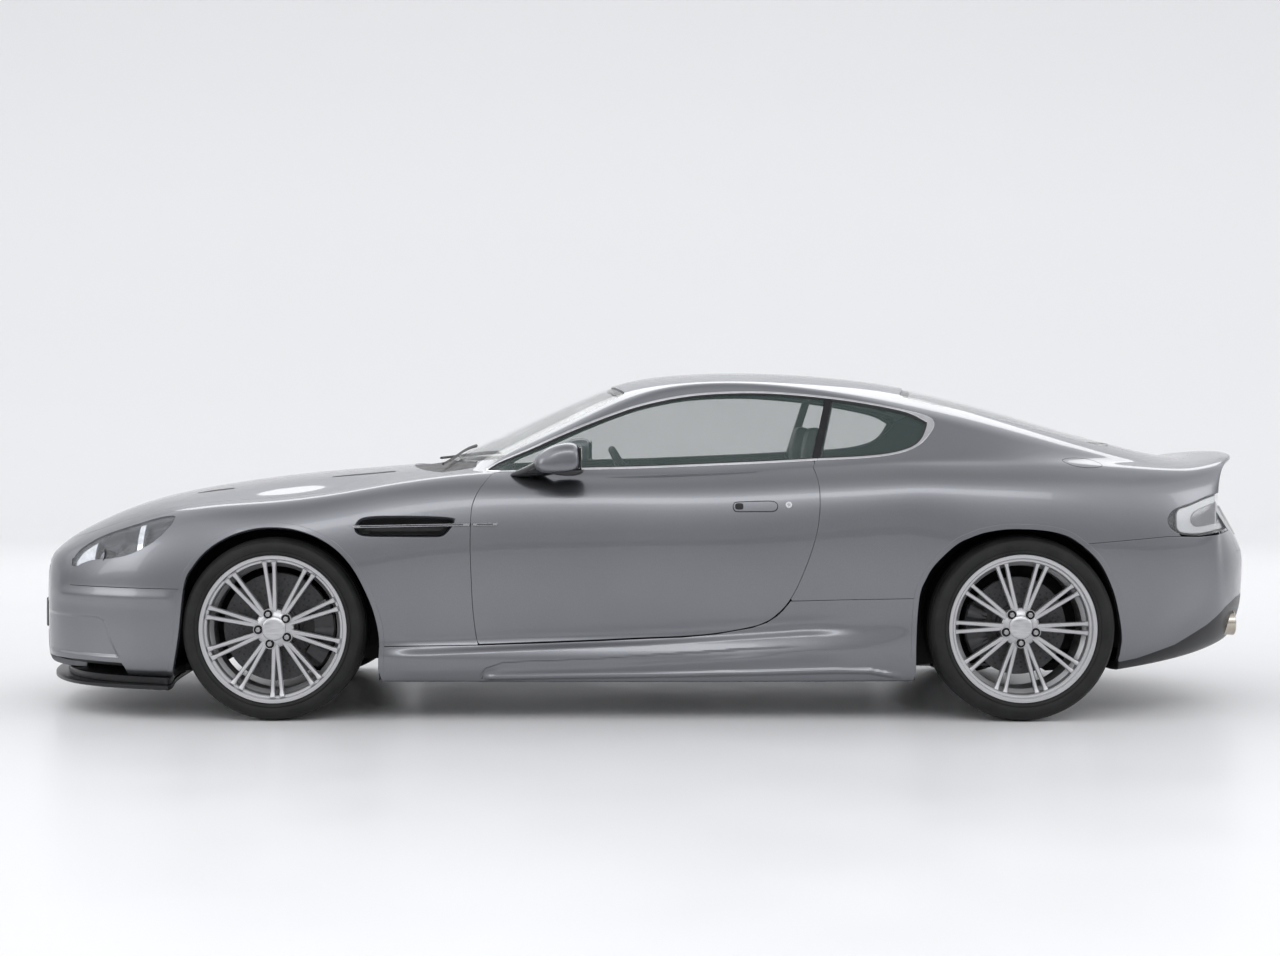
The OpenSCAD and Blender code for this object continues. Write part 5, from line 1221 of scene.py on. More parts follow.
def disc_mesh(radius):
    """A brake disc: two faces, a vented middle and a raised bell."""
    ring = lathe([(0.100, 0.001), (radius - 0.001, 0.001), (radius, 0.0), (radius, -0.010),
                  (radius - 0.004, -0.0105), (radius - 0.004, -0.0185), (radius, -0.019), (radius, -0.028),
                  (radius - 0.001, -0.029), (0.100, -0.029)], 96)
    bell = lathe([(0.026, 0.0285), (0.078, 0.0285), (0.082, 0.025), (0.084, 0.006), (0.102, 0.0035),
                  (0.102, -0.004), (0.080, -0.004), (0.076, 0.020), (0.026, 0.020)], 72)
    return ring, bell

def drill_marks(radius):
    """Short cones in curved rows, given a near-black finish as painted shade: the drilled holes of the disc."""
    pts, faces = [], []
    for row in range(30):
        for k in range(4):
            r = 0.112 + (radius - 0.128) * (k + 0.5 * (row % 2)) / 4.0 + 0.004
            a = math.radians(row * 12 + k * 6)
            cx, cz, base = r * math.cos(a), r * math.sin(a), len(pts)
            for m in range(8):
                t = m * math.pi / 4
                pts.append((cx + 0.0033 * math.cos(t), 0.0013, cz + 0.0033 * math.sin(t)))
            pts.append((cx, 0.0006, cz))
            faces += [(base + m, base + 8, base + (m + 1) % 8) for m in range(8)]
    mesh = bpy.data.meshes.new("marks")
    mesh.from_pydata(pts, [], faces)
    return new_object("marks", mesh)

def caliper_mesh(radius, start, end):
    """A brake caliper: a rounded block swept along the disc's edge, with a rib across its face."""
    rings = []
    profile = [(-0.062, -0.044), (0.014, -0.046), (0.021, -0.036), (0.022, 0.028), (0.015, 0.038), (-0.030, 0.041),
               (-0.056, 0.036), (-0.062, 0.028)]
    for k in range(25):
        a = math.radians(start + (end - start) * k / 24)
        near_end = min(k, 24 - k) / 2
        size = 0.82 + 0.18 * min(near_end, 1)
        lift = 0.004 if 11 <= k <= 13 or k in (5, 6, 18, 19) else 0.0
        ring = []
        for r, y in profile:
            out = radius - 0.020 + (r + 0.020) * size
            ring.append((out * math.cos(a), (y + (lift if y > 0.03 else 0)) * size, out * math.sin(a)))
        rings.append(ring)
    return loft(rings)

# %% Wheel finishes
ALLOY = surface_finish("forged_alloy", (0.50, 0.50, 0.51), (0.56, 0.56, 0.57), (0.34, 0.40), 0.9, 6)
BRUSHED = surface_finish("brushed_cap", (0.46, 0.46, 0.47), (0.66, 0.66, 0.67), (0.28, 0.45), 1.0, 120,
                         stretch=(0.15, 1, 1))
STEEL = surface_finish("nut_steel", (0.30, 0.30, 0.31), (0.45, 0.45, 0.46), (0.25, 0.40), 1.0, 60)
DISC_IRON = surface_finish("dark_disc", (0.060, 0.060, 0.062), (0.105, 0.105, 0.108), (0.35, 0.55), 0.6, 90,
                           grain_depth=0.0002, grain_size=700)
CALIPER = surface_finish("caliper_black", (0.010, 0.010, 0.011), (0.026, 0.026, 0.028), (0.28, 0.42), grain=40,
                         coat=0.3)
# Painted shade: a near-black finish for the disc's drilled holes and the floors of the nut wells.
HOLE_SHADE = surface_finish("painted_hole_shade", (0.002, 0.002, 0.002), (0.006, 0.006, 0.006), (0.7, 0.9), grain=60)

def tyre_rubber():
    """Matte black rubber, a little dusty, with a fine grain in relief."""
    mat, tree, shader, where = nodes_of("tyre_black")
    drift = noise_node(tree, where, 14, 4, 0.6)
    tree.links.new(tint(tree, drift, (0.011, 0.011, 0.011), (0.022, 0.022, 0.022)), shader.inputs["Base Color"])
    tree.links.new(spread(tree, drift, 0.50, 0.68), shader.inputs["Roughness"])
    shader.inputs["Specular IOR Level"].default_value = 0.22
    bump(tree, shader, noise_node(tree, where, 520, 2, 0.5), 0.5, 0.0003)
    return mat

TYRE = tyre_rubber()

# %% Set a wheel on each corner
REST_TURN = {"front": -3.5, "rear": -17.5}
for end, tyre_r, tyre_w, disc_r in (("front", 0.336, 0.246, 0.199), ("rear", 0.340, 0.296, 0.180)):
    low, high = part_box(f"tyre_{end}_right")
    middle = (low + high) / 2
    rim = rim_mesh(tyre_w)
    sets = [("rim_{}_{}_forged", rim, "wheel_alloy", ALLOY, ["rim_{}_{}"], 25),
            ("wheel_nuts_{}_{}", nut_mesh(), "disc_iron", STEEL, [], 30),
            ("nut_wells_{}_{}", well_mesh(), "black_trim", HOLE_SHADE, [], 30),
            ("hub_cap_{}_{}", cap_mesh(), "wheel_alloy", BRUSHED, [], 30),
            ("tyre_{}_{}_moulded", tyre_mesh(tyre_r, tyre_w), "tyre_rubber", TYRE, ["tyre_{}_{}"], 28)]
    ring, bell = disc_mesh(disc_r)
    sets += [("disc_ring_{}_{}", ring, "disc_iron", DISC_IRON, ["brake_disc_{}_{}"], 30),
             ("disc_bell_{}_{}", bell, "disc_iron", DISC_IRON, [], 30),
             ("disc_holes_{}_{}", drill_marks(disc_r), "disc_iron", HOLE_SHADE, [], None)]
    clamp = caliper_mesh(disc_r, -44, 30) if end == "front" else caliper_mesh(disc_r, 152, 214)
    for side, sign in SIDES:
        at_hub = Matrix.Translation((middle.x, sign * middle.y, middle.z)) @ Matrix.Diagonal((1, sign, 1, 1))
        piece = placed_copy(clamp, at_hub, f"caliper_{end}_{side}")
        finish_piece(piece, f"caliper_{end}_{side}", f"knuckle_{side}_body" if end == "front" else "body",
                     CALIPER, [], 30)
        set_up = at_hub @ turn_y(REST_TURN[end])
        for name, mesh_obj, slot, mat, nodes, smooth in sets:
            piece = placed_copy(mesh_obj, set_up, name.format(end, side))
            finish_piece(piece, name.format(end, side), f"wheel_{end}_{side}", mat,
                         [n.format(end, side) for n in nodes], smooth)
    for _, mesh_obj, *_ in sets:
        bpy.data.objects.remove(mesh_obj)
    bpy.data.objects.remove(clamp)
    print(end, "wheels at", tuple(round(c, 3) for c in middle))
# %% [markdown]
# ## Lamps
# A lamp is a clear cover flush with the skin over a shaped bowl. The bowl is the same piece of skin
# pressed in by a depth that changes from place to place, with a wall up to the edge, and the reflectors,
# lens units and bars are separate pieces inside it.

# %% A bowl pressed in behind an opening
def bowl(name, field, depth_at, body, mat, nodes=(), edge=0.002, fine=2):
    """Pairs of bowls: the skin inside a field moved in by depth_at(place), walled up to the edge."""
    uv, faces, border = trimmed(field, fine)
    place, normal = body_at(uv[:, 0], uv[:, 1])
    depth = depth_at(place, normal)
    floor_points = place - depth[:, None] * normal
    rim_ids = sorted({k for edge_pair in border for k in edge_pair})
    at = {k: len(place) + n for n, k in enumerate(rim_ids)}
    points = np.concatenate([floor_points, place[rim_ids] - edge * normal[rim_ids]])
    faces = [tuple(reversed(f)) for f in faces] + [(a, b, at[b], at[a])[::-1] for a, b in border]
    made = []
    for side, sign in SIDES:
        obj = mesh_piece(name.format(side), points * [1, sign, 1],
                         faces if sign > 0 else [f[::-1] for f in faces])
        made.append(finish_piece(obj, name.format(side), body.format(side), mat,
                                 [n.format(side) for n in nodes], smooth=40))
    return made

def skin_at(x, z):
    """The point and normal of the right flank at x and z."""
    spot, normal = SKIN_TREE.ray_cast(Vector((x, 2, z)), Vector((0, -1, 0)))[:2]
    return spot, normal

def set_on(obj, spot, facing, name, body, mat):
    """Put a piece made facing +Y at a spot, facing a direction, and its mirror image on the left."""
    turn = Vector((0, 1, 0)).rotation_difference(Vector(facing).normalized()).to_matrix().to_4x4()
    both_copies(obj, name, body, mat, place=Matrix.Translation(spot) @ turn)

REFLECTOR = surface_finish("lamp_reflector", (0.62, 0.64, 0.68), (0.82, 0.84, 0.88), (0.10, 0.22), 0.9, 40)
LAMP_DARK = surface_finish("lamp_housing", (0.020, 0.022, 0.028), (0.050, 0.054, 0.066), (0.22, 0.34), 0.5, 8)
LENS = surface_finish("lamp_lens", (0.10, 0.12, 0.15), (0.16, 0.18, 0.22), (0.02, 0.05), 0.2, 20, coat=1.0)

# %% Headlamps
lamp_zone = all_of(within(LAMP, 0.5), outside(BONNET, SHUT))
def lamp_depth(p, n):
    """Shallow along the edge and deeper in the middle, with two round hollows; the front one holds the lens."""
    depth = 0.010 + 0.030 * ease(far(LAMP, p, n) / 0.030)
    for cx, cz, r in ((-2.041, 0.594, 0.040), (-1.945, 0.652, 0.042)):
        away = np.hypot(p[:, 0] - cx, p[:, 2] - cz)
        depth = depth + 0.020 * (1 - ease((away - r * 0.6) / (r * 0.5)))
    return depth

bowl("headlamp_bowl_{}", lamp_zone, lamp_depth, "body", LAMP_DARK, ["headlamps"])
pair("headlamp_cover_{}", lamp_zone, "body", "lamp_clear", LAMP_CLEAR, lift=-0.0005, depth=0.004, lip=0.0008,
     closed=True, fine=2)
pair("headlamp_tip_{}", all_of(within(LAMP, 5), outside(BONNET, 9), at_x(-2078, False)), "body", "lamp_clear",
     REFLECTOR, lift=-0.012, depth=0.008, lip=0.001, fine=3)
pair("headlamp_blade_{}", all_of(within(LAMP, 6), outside(BONNET, 12), at_x(-1893), at_x(-1872, False)), "body",
     "lamp_clear", REFLECTOR, lift=-0.010, depth=0.012, lip=0.001, fine=3)
LAMP_AT, LAMP_R = (-2.038, 0.596), 0.033
spot, normal = skin_at(*LAMP_AT)
spot = spot - normal * 0.036
facing = (normal + Vector((-0.9, 0, 0.05))).normalized()
barrel = lathe([(0.0, -0.02), (LAMP_R, -0.02), (LAMP_R, 0.020), (LAMP_R - 0.002, 0.024),
                (LAMP_R - 0.005, 0.022), (LAMP_R - 0.006, 0.010), (0.0, 0.006)], 48, closed=False)
set_on(barrel, spot, facing, "lamp_unit_0_{}", "body", GLOSS_BLACK)
ring = lathe([(LAMP_R - 0.001, 0.020), (LAMP_R + 0.003, 0.020), (LAMP_R + 0.004, 0.024),
              (LAMP_R + 0.001, 0.027), (LAMP_R - 0.002, 0.026)], 48)
set_on(ring, spot, facing, "lamp_ring_0_{}", "body", GLOSS_BLACK)
LENS_R = LAMP_R - 0.006
lens = lathe([(LENS_R, 0.010)] + [(LENS_R * math.cos(a), 0.010 + 0.018 * math.sin(a))
                                  for a in np.linspace(0.2, math.pi / 2, 8)], 48, closed=False)
set_on(lens, spot, facing, "lamp_lens_0_{}", "body", LENS)

# %% Tail lamps
def fluted():
    """Silver reflector behind fine flutes: narrow bands painted lighter and darker as the flutes' highlight and
    shade, with a slight relief.
    """
    mat, tree, shader, where = nodes_of("tail_reflector")
    wave = tree.nodes.new("ShaderNodeTexWave")
    wave.inputs["Scale"].default_value = 110
    wave.inputs["Distortion"].default_value = 0.6
    tree.links.new(where, wave.inputs["Vector"])
    # Painted highlight and shade: the colour bands follow the same wave as the relief.
    tree.links.new(tint(tree, wave.outputs["Fac"], (0.62, 0.63, 0.65), (0.80, 0.81, 0.82), 0.2, 0.8),
                   shader.inputs["Base Color"])
    tree.links.new(spread(tree, wave.outputs["Fac"], 0.16, 0.30), shader.inputs["Roughness"])
    shader.inputs["Metallic"].default_value = 0.5
    bump(tree, shader, wave.outputs["Fac"], 0.5, 0.0012)
    return mat

FLUTED = fluted()
SMOKED = surface_finish("smoked_inner_lens", (0.15, 0.15, 0.16), (0.24, 0.24, 0.25), (0.10, 0.20), 0.3, 25,
                        coat=1.0)
tail_zone = all_of(within(TAIL, 0.5), outside(LID, SHUT), at_x(1880))
bowl("tail_lamp_bowl_{}", tail_zone, lambda p, n: 0.005 + 0.020 * ease(far(TAIL, p, n) / 0.012), "body",
     GLOSS_BLACK, ["tail_lamps"])
pair("tail_lamp_cover_{}", tail_zone, "body", "lamp_rear", LAMP_CLEAR, lift=-0.0005, depth=0.004, lip=0.0008,
     closed=True, fine=2)
pair("tail_lamp_band_{}", all_of(within(TAIL, 11), outside(LID, 10), at_x(1952), radius=0.02), "body",
     "lamp_rear", FLUTED, lift=-0.012, depth=0.010, lip=0.003, fine=2)
pair("tail_lamp_core_{}", all_of(within(TAIL, 36), outside(LID, 10), at_x(2008), radius=0.03), "body",
     "lamp_rear", SMOKED, lift=-0.007, depth=0.008, lip=0.003, fine=3)

# %% [markdown]
# ## Flank details
# The vent behind the front wheel is a pressed opening with a rounded painted edge and a dark duct behind.
# A bright bar runs through it and on to the door, so it is made as two bars that part at the shut line.

# %% Vent and strake
bowl("vent_edge_{}", all_of(within(VENT), lambda p, n: 0.010 - far(VENT, p, n), radius=0.001),
     lambda p, n: 0.002 + 1.1 * np.clip(far(VENT, p, n), 0, 0.010), "body", PAINT, edge=0.001, fine=4)
bowl("vent_duct_{}", within(VENT, 9.5), lambda p, n: 0.012 + 0.035 * ease(far(VENT, p, n) / 0.030), "body",
     PLASTIC, edge=0.010)
def flank_bar(name, xs, z_at, half, proud, body, mat):
    rings = []
    for k, x in enumerate(xs):
        z = z_at(x)
        spot, normal = skin_at(x, z)
        taper = 0.55 if k in (0, len(xs) - 1) else 1.0
        h = half * taper
        rings.append([(x, spot.y + b * taper, z + a) for a, b in
                      ((-h, -0.004), (-h, proud * 0.5), (-h * 0.7, proud), (h * 0.7, proud),
                       (h, proud * 0.5), (h, -0.004))])
    both_copies(loft(rings), name, body, mat)

bar_z = lambda x: 0.7115 + 0.010 * (x + 1.081) / 0.529
front_x = [-1.082, -1.078] + list(np.linspace(-1.07, -0.665, 24)) + [-0.6565, -0.6535]
door_x = [-0.6465, -0.6435] + list(np.linspace(-0.64, -0.56, 7)) + [-0.555, -0.552]
flank_bar("strake_{}", front_x, bar_z, 0.0062, 0.0075, "body", CHROME)
flank_bar("strake_door_{}", door_x, bar_z, 0.0062, 0.0075, "door_{}_body", CHROME)
flank_bar("strake_inlay_{}", front_x[2:-2], bar_z, 0.0022, 0.0083, "body", GLOSS_BLACK)
flank_bar("strake_door_inlay_{}", door_x[2:-2], bar_z, 0.0022, 0.0083, "door_{}_body", GLOSS_BLACK)

# %% Door handle, lock and fuel flap
HANDLE = Line([[306, 783], [309, 795], [320, 802], [380, 805], [440, 806], [459, 803], [469, 795], [471, 785],
               [468, 774], [458, 767], [440, 765], [380, 765], [322, 765], [310, 771]])
LOCK = Line([[511 + 11 * math.cos(a), 791 + 11 * math.sin(a)] for a in np.linspace(0, 2 * math.pi, 13)[:-1]])
FUEL = Line([[1533, 952], [1560, 935], [1602, 926], [1650, 925], [1682, 932], [1670, 946], [1630, 957],
             [1570, 960]])
def groove(line, wide):
    return all_of(within(line), lambda p, n: wide - far(line, p, n), radius=0.0005)

# Painted shade: a near-black ring laid on the door round the handle stands for its shadowed gap.
pair("handle_gap_{}", groove(HANDLE, 0.0050), "door_{}_body", "black_trim", GLOSS_BLACK, lift=0.0004, depth=0.002,
     lip=0.0002, fine=6)
pair("handle_bar_{}", within(HANDLE, 4.8), "door_{}_body", "body_paint", PAINT, lift=0.0026, depth=0.004,
     lip=0.0026, fine=6)
THUMB = Line([[316, 779], [316, 791], [322, 795], [338, 795], [343, 791], [343, 779], [338, 775], [322, 775]])
pair("handle_button_{}", within(THUMB), "door_{}_body", "black_trim", GLOSS_BLACK, lift=0.0040, depth=0.003,
     lip=0.001, fine=6)
pair("door_lock_ring_{}", groove(LOCK, 0.0045), "door_{}_body", "grille_metal", CHROME, lift=0.0012, depth=0.003,
     lip=0.0008, fine=6)
pair("door_lock_{}", within(LOCK, 5.5), "door_{}_body", "grille_metal", STEEL, lift=0.0008, depth=0.002, lip=0.0006,
     fine=6)
# Painted shade: a near-black ring laid round the fuel flap stands for its shadowed gap.
panel("fuel_flap_gap_painted_shade", groove(FUEL, 0.0028), "body", "black_trim", GLOSS_BLACK, side="left", lift=0.0003,
      depth=0.002, lip=0.0002, fine=8)

# %% Raised edge round each arch
def arch_lip(name, line, low):
    edge = all_of(outside(line, 0.4), lambda p, n: 0.016 + far(line, p, n), at_z(low), at_y(600), radius=0.002)
    pair(name, edge, "body", "body_paint", PAINT, lift=0.0020, depth=0.006, lip=0.0016, fine=2)

arch_lip("front_arch_lip_{}", ARCH_F, 170)
arch_lip("rear_arch_lip_{}", ARCH_R, 235)

# %% Nose: side intakes, bright frame, slats, mesh
bowl("side_intake_{}", side_intake, lambda p, n: 0.030 + 0 * p[:, 0], "body", PLASTIC, edge=0.016)
panel("grille_frame", all_of(lambda p, n: upper_mouth(p, n) + 0.009, lambda p, n: -0.001 - upper_mouth(p, n),
                             radius=0.001), "body", "grille_metal", CHROME, lift=0.002, depth=0.012,
      lip=0.002, fine=4)
panel("mouth_frame", all_of(lambda p, n: lower_mouth(p, n) + 0.007, lambda p, n: -0.001 - lower_mouth(p, n),
                            radius=0.001), "body", "black_trim", GLOSS_BLACK, lift=0.001, depth=0.014, lip=0.002,
      fine=4)
for level, mouth in (("upper", upper_mouth), ("lower", lower_mouth)):
    panel(f"grille_{level}_back", lambda p, n, m=mouth: m(p, n) + 0.004, "body", "black_trim", LINER, ["grille"],
          lift=-0.045, depth=0.004, lip=0.001)
def nose_x(y, z):
    hit = SKIN_TREE.ray_cast(Vector((-3, y, z)), Vector((1, 0, 0)))[0]
    return hit.x if hit and hit.x < -1 else -2.352

def slat(z, half, reach, deep, back):
    """A bar across the nose that follows its curve, set back from the skin."""
    rings = []
    for y in np.linspace(-reach, reach, 25):
        x = nose_x(y, z) + back
        rings.append([(x, y, z - half * 0.6), (x - 0.002, y, z), (x, y, z + half * 0.6), (x + deep, y, z + half),
                      (x + deep, y, z - half)])
    return loft(rings)

slats = [slat(0.428 + 0.0185 * k, 0.0042, 0.405, 0.022, 0.014) for k in range(7)]
finish_piece(joined(slats), "grille_slats", "body", CHROME, [], 30)
bars = [slat(0.205 + 0.0125 * k, 0.0014, 0.425, 0.004, 0.020) for k in range(7)]
for y in np.linspace(-0.42, 0.42, 57):
    x = nose_x(y, 0.24) + 0.0215
    bars.append(loft([[(x - 0.0014, y - 0.0014, z), (x + 0.0014, y - 0.0014, z), (x + 0.0014, y + 0.0014, z),
                       (x - 0.0014, y + 0.0014, z)] for z in (0.198, 0.24, 0.285)]))
finish_piece(joined(bars), "lower_mesh", "body", PLASTIC, [], 30)

# %% Bonnet vents
for number, corners in enumerate(([[-1745, 404], [-1700, 420], [-1640, 436], [-1602, 440], [-1606, 424],
                                   [-1640, 408], [-1700, 396]],
                                  [[-1225, 412], [-1160, 420], [-1060, 424], [-985, 422], [-990, 404],
                                   [-1060, 396], [-1160, 398]])):
    slot_line = Line(corners, (0, 1))
    pair("bonnet_slot_%d_{}" % number, all_of(within(slot_line), at_z(600)), "bonnet_body", "black_trim",
         PLASTIC, lift=0.0012, depth=0.003, lip=0.001, fine=3)

# %% Mirrors
def outline_loft(sections):
    """Sections of one rounded outline from the door outwards: y, scale, stretch in x, shifts in x and z."""
    outline = [(-0.088, -0.012), (-0.070, 0.020), (-0.018, 0.052), (0.046, 0.062), (0.078, 0.052), (0.088, 0.020),
               (0.088, -0.030), (0.070, -0.050), (0.010, -0.056), (-0.060, -0.056), (-0.084, -0.040)]
    return [[(-0.335 + dx + a * s * sx, y, 0.962 + dz + b * s) for a, b in outline]
            for y, s, sx, dx, dz in sections]

pod = loft(outline_loft([(0.836, 0.55, 1.0, 0.010, -0.012), (0.846, 0.86, 1.0, 0.004, -0.004),
                         (0.880, 0.99, 1.0, 0, 0), (0.930, 1.0, 1.0, 0, 0), (0.972, 0.93, 1.0, 0.003, -0.003),
                         (0.992, 0.72, 0.98, 0.014, -0.006), (0.998, 0.45, 0.95, 0.020, -0.010)]))
def softened(obj, levels=2):
    return applied(obj, "SUBSURF", levels=levels, render_levels=levels)

softened(pod)
arm = loft([[(-0.335 + a, y, 0.935 + b) for a, b in outline] for y, outline in (
    (0.775, [(-0.222, -0.047), (-0.150, -0.012), (-0.070, 0.008), (-0.060, -0.030), (-0.120, -0.048)]),
    (0.800, [(-0.205, -0.048), (-0.120, 0.000), (-0.030, 0.020), (-0.010, -0.040), (-0.100, -0.050)]),
    (0.850, [(-0.160, -0.044), (-0.080, 0.030), (0.010, 0.040), (0.050, -0.026), (-0.060, -0.042)]),
    (0.900, [(-0.100, -0.030), (-0.060, 0.030), (0.020, 0.030), (0.050, -0.020), (-0.040, -0.032)]))])
softened(arm)
shoe = loft([[(-0.300 + a * s, y, 0.911 + b * s) for a, b in ((-0.075, 0.010), (-0.060, -0.010), (0.02, -0.016),
                                                            (0.058, -0.008), (0.066, 0.012), (0.0, 0.016))]
             for y, s in ((0.800, 0.8), (0.830, 1.0), (0.930, 1.0), (0.978, 0.9), (0.986, 0.6))])
softened(shoe)
MIRROR_EDGE = ((-0.060, -0.036), (-0.066, 0.0), (-0.056, 0.036), (0.0, 0.045), (0.056, 0.036), (0.064, 0.0),
               (0.056, -0.036), (0.0, -0.042))
def mirror_plate(x, steps):
    """The mirror's outline at each step back and each scale, joined into one plate."""
    return loft([[(x + dx, 0.915 + a * s, 0.964 + b * s) for a, b in MIRROR_EDGE] for dx, s in steps])

face = mirror_plate(-0.2470, ((-0.006, 1.0), (0.0, 1.0), (0.0006, 0.93), (-0.002, 0.90)))
inlay = mirror_plate(-0.2462, ((-0.004, 0.90), (0.0, 0.89), (0.0002, 0.87)))
MIRROR_GLASS = surface_finish("mirror_silver", (0.70, 0.72, 0.74), (0.78, 0.80, 0.82), (0.01, 0.03), 1.0, 10)
for name, obj, slot, mat in (("mirror_pod_{}", pod, "body_paint", PAINT),
                             ("mirror_arm_{}", arm, "black_trim", GLOSS_BLACK),
                             ("mirror_shoe_{}", shoe, "black_trim", PLASTIC),
                             ("mirror_bezel_{}", face, "black_trim", GLOSS_BLACK),
                             ("mirror_face_{}", inlay, "lamp_clear", MIRROR_GLASS)):
    both_copies(obj, name, "door_{}_body", mat, ["mirror_{}"], 40)
print("details done")
# %% [markdown]
# ## Cabin
# Through the glass one sees seats, wheel rim, dash top, door tops and the dark lining of the roof. The
# lining and the door cards are cut from the inner walls of the CAD solids. Cushions are real pads: a
# closed shape a little too small is filled like a balloon by a short cloth simulation, and then its
# seams are laid in.

# %% Cabin finishes
def leather(name, dark, light):
    mat, tree, shader, where = nodes_of(name)
    cells = tree.nodes.new("ShaderNodeTexVoronoi")
    cells.feature = "DISTANCE_TO_EDGE"
    cells.inputs["Scale"].default_value = 620
    tree.links.new(where, cells.inputs["Vector"])
    drift = noise_node(tree, where, 9, 3, 0.6)
    tree.links.new(tint(tree, drift, dark, light), shader.inputs["Base Color"])
    tree.links.new(spread(tree, drift, 0.42, 0.58), shader.inputs["Roughness"])
    bump(tree, shader, cells.outputs["Distance"], 0.35, 0.0005)
    return mat

HIDE = leather("black_hide", (0.012, 0.012, 0.013), (0.026, 0.025, 0.025))
WHEEL_HIDE = leather("rim_hide", (0.010, 0.010, 0.011), (0.020, 0.020, 0.020))
LINING = surface_finish("roof_lining", (0.030, 0.030, 0.031), (0.050, 0.050, 0.051), (0.85, 0.95), grain=120,
                        grain_depth=0.0006, grain_size=1600, sheen=0.3)
CARPET = surface_finish("floor_carpet", (0.010, 0.010, 0.010), (0.024, 0.024, 0.024), (0.9, 1.0), grain=160,
                        grain_depth=0.0015, grain_size=900, sheen=0.4)

# %% Lining, door cards, lid undersides from the CAD solids
inner_walls("roof", LINING)
for side in ("right", "left"):
    inner_walls(f"door_{side}", HIDE, f"door_{side}_body")
inner_walls("bonnet", UNDERSIDE, "bonnet_body")
inner_walls("boot_lid", UNDERSIDE, "boot_lid_body")

# %% Cushions
def block_pad(low, high, crown=0.0, cuts=3):
    """A box with rounded edges, cut into a grid; the crown argument is not used."""
    bpy.ops.mesh.primitive_cube_add(size=1)
    obj = bpy.context.active_object
    size = [h - l for l, h in zip(low, high)]
    for v in obj.data.vertices:
        v.co = [l + (c + 0.5) * s for l, c, s in zip(low, v.co, size)]
    pick(obj)
    bpy.ops.object.mode_set(mode="EDIT")
    bpy.ops.mesh.select_all(action="SELECT")
    bpy.ops.mesh.bevel(offset=min(size) * 0.30, segments=3)
    bpy.ops.mesh.select_all(action="SELECT")
    bpy.ops.mesh.subdivide(number_cuts=cuts)
    bpy.ops.object.mode_set(mode="OBJECT")
    return obj

def filled(obj, voxel=0.011, cap=0.014, pressure=3.0):
    """Fill a closed pad like a balloon, and hold each point to within the cap of where it was."""
    applied(obj, "REMESH", mode="VOXEL", voxel_size=voxel)
    start = np.array([v.co[:] for v in obj.data.vertices])
    cloth = obj.modifiers.new("cloth", "CLOTH")
    cloth.settings.use_pressure = True
    cloth.settings.uniform_pressure_force = pressure
    cloth.settings.effector_weights.gravity = 0
    cloth.settings.quality = 4
    for frame_number in range(1, 13):
        bpy.context.scene.frame_set(frame_number)
    shaped = obj.evaluated_get(bpy.context.evaluated_depsgraph_get())
    moved = np.array([v.co[:] for v in shaped.data.vertices])
    obj.modifiers.remove(cloth)
    bpy.context.scene.frame_set(1)
    step = moved - start
    reach = np.maximum(np.linalg.norm(step, axis=1), 1e-9)
    step *= np.minimum(1, cap / reach)[:, None]
    obj.data.vertices.foreach_set("co", (start + step).ravel())
    obj.data.update()
    return obj

def seam_groove(obj, lines, depth=0.006, wide=0.010):
    """Press sewn channels into the top of a pad; each line is a function of place, zero on the seam."""
    for v in obj.data.vertices:
        if v.normal.length and abs(v.normal.y) < 0.8:
            for line in lines:
                d = line(v.co)
                v.co -= v.normal * depth * math.exp(-(d / wide) ** 2)
    return obj

def turned_about(obj, pivot, degrees):
    spot = Vector(pivot)
    obj.data.transform(Matrix.Translation(spot) @ turn_y(degrees) @ Matrix.Translation(-spot))
    return obj

SEAT_Y = 0.365
def front_seat(y0, side):
    parts = {}
    base = turned_about(block_pad((0.005, y0 - 0.150, 0.300), (0.470, y0 + 0.150, 0.388)),
                        (0.25, y0, 0.34), 4)
    parts["cushion"] = seam_groove(filled(base), [lambda c, x=x: c.x - x for x in (0.14, 0.26, 0.38)])
    for name, sy in (("inner_bolster", -1), ("outer_bolster", 1)):
        a, b = sorted((y0 + sy * 0.165, y0 + sy * 0.212))
        parts[name] = filled(block_pad((0.0, a, 0.290), (0.47, b, 0.420)), cap=0.008)
    back = block_pad((0.478, y0 - 0.128, 0.400), (0.540, y0 + 0.128, 0.905))
    parts["back"] = seam_groove(filled(turned_about(back, (0.50, y0, 0.40), 13)),
                                [lambda c, z=z: c.z - z for z in (0.50, 0.60, 0.70, 0.80)])
    shell = block_pad((0.520, y0 - 0.158, 0.380), (0.566, y0 + 0.158, 0.940))
    parts["back_shell"] = filled(turned_about(shell, (0.50, y0, 0.40), 13), cap=0.006)
    for name, sy in (("back_inner_bolster", -1), ("back_outer_bolster", 1)):
        a, b = sorted((y0 + sy * 0.132, y0 + sy * 0.172))
        roll = turned_about(block_pad((0.465, a, 0.42), (0.545, b, 0.86)), (0.50, y0, 0.40), 13)
        parts[name] = filled(roll, cap=0.008)
    head = block_pad((0.512, y0 - 0.115, 0.925), (0.575, y0 + 0.115, 1.085))
    parts["head_rest"] = filled(turned_about(head, (0.50, y0, 0.40), 9), cap=0.010)
    for name, obj in parts.items():
        softened(obj, 1)
        finish_piece(obj, f"seat_{side}_{name}", "body", HIDE, ["front_seats"], 50)

front_seat(SEAT_Y, "right")
front_seat(-SEAT_Y, "left")

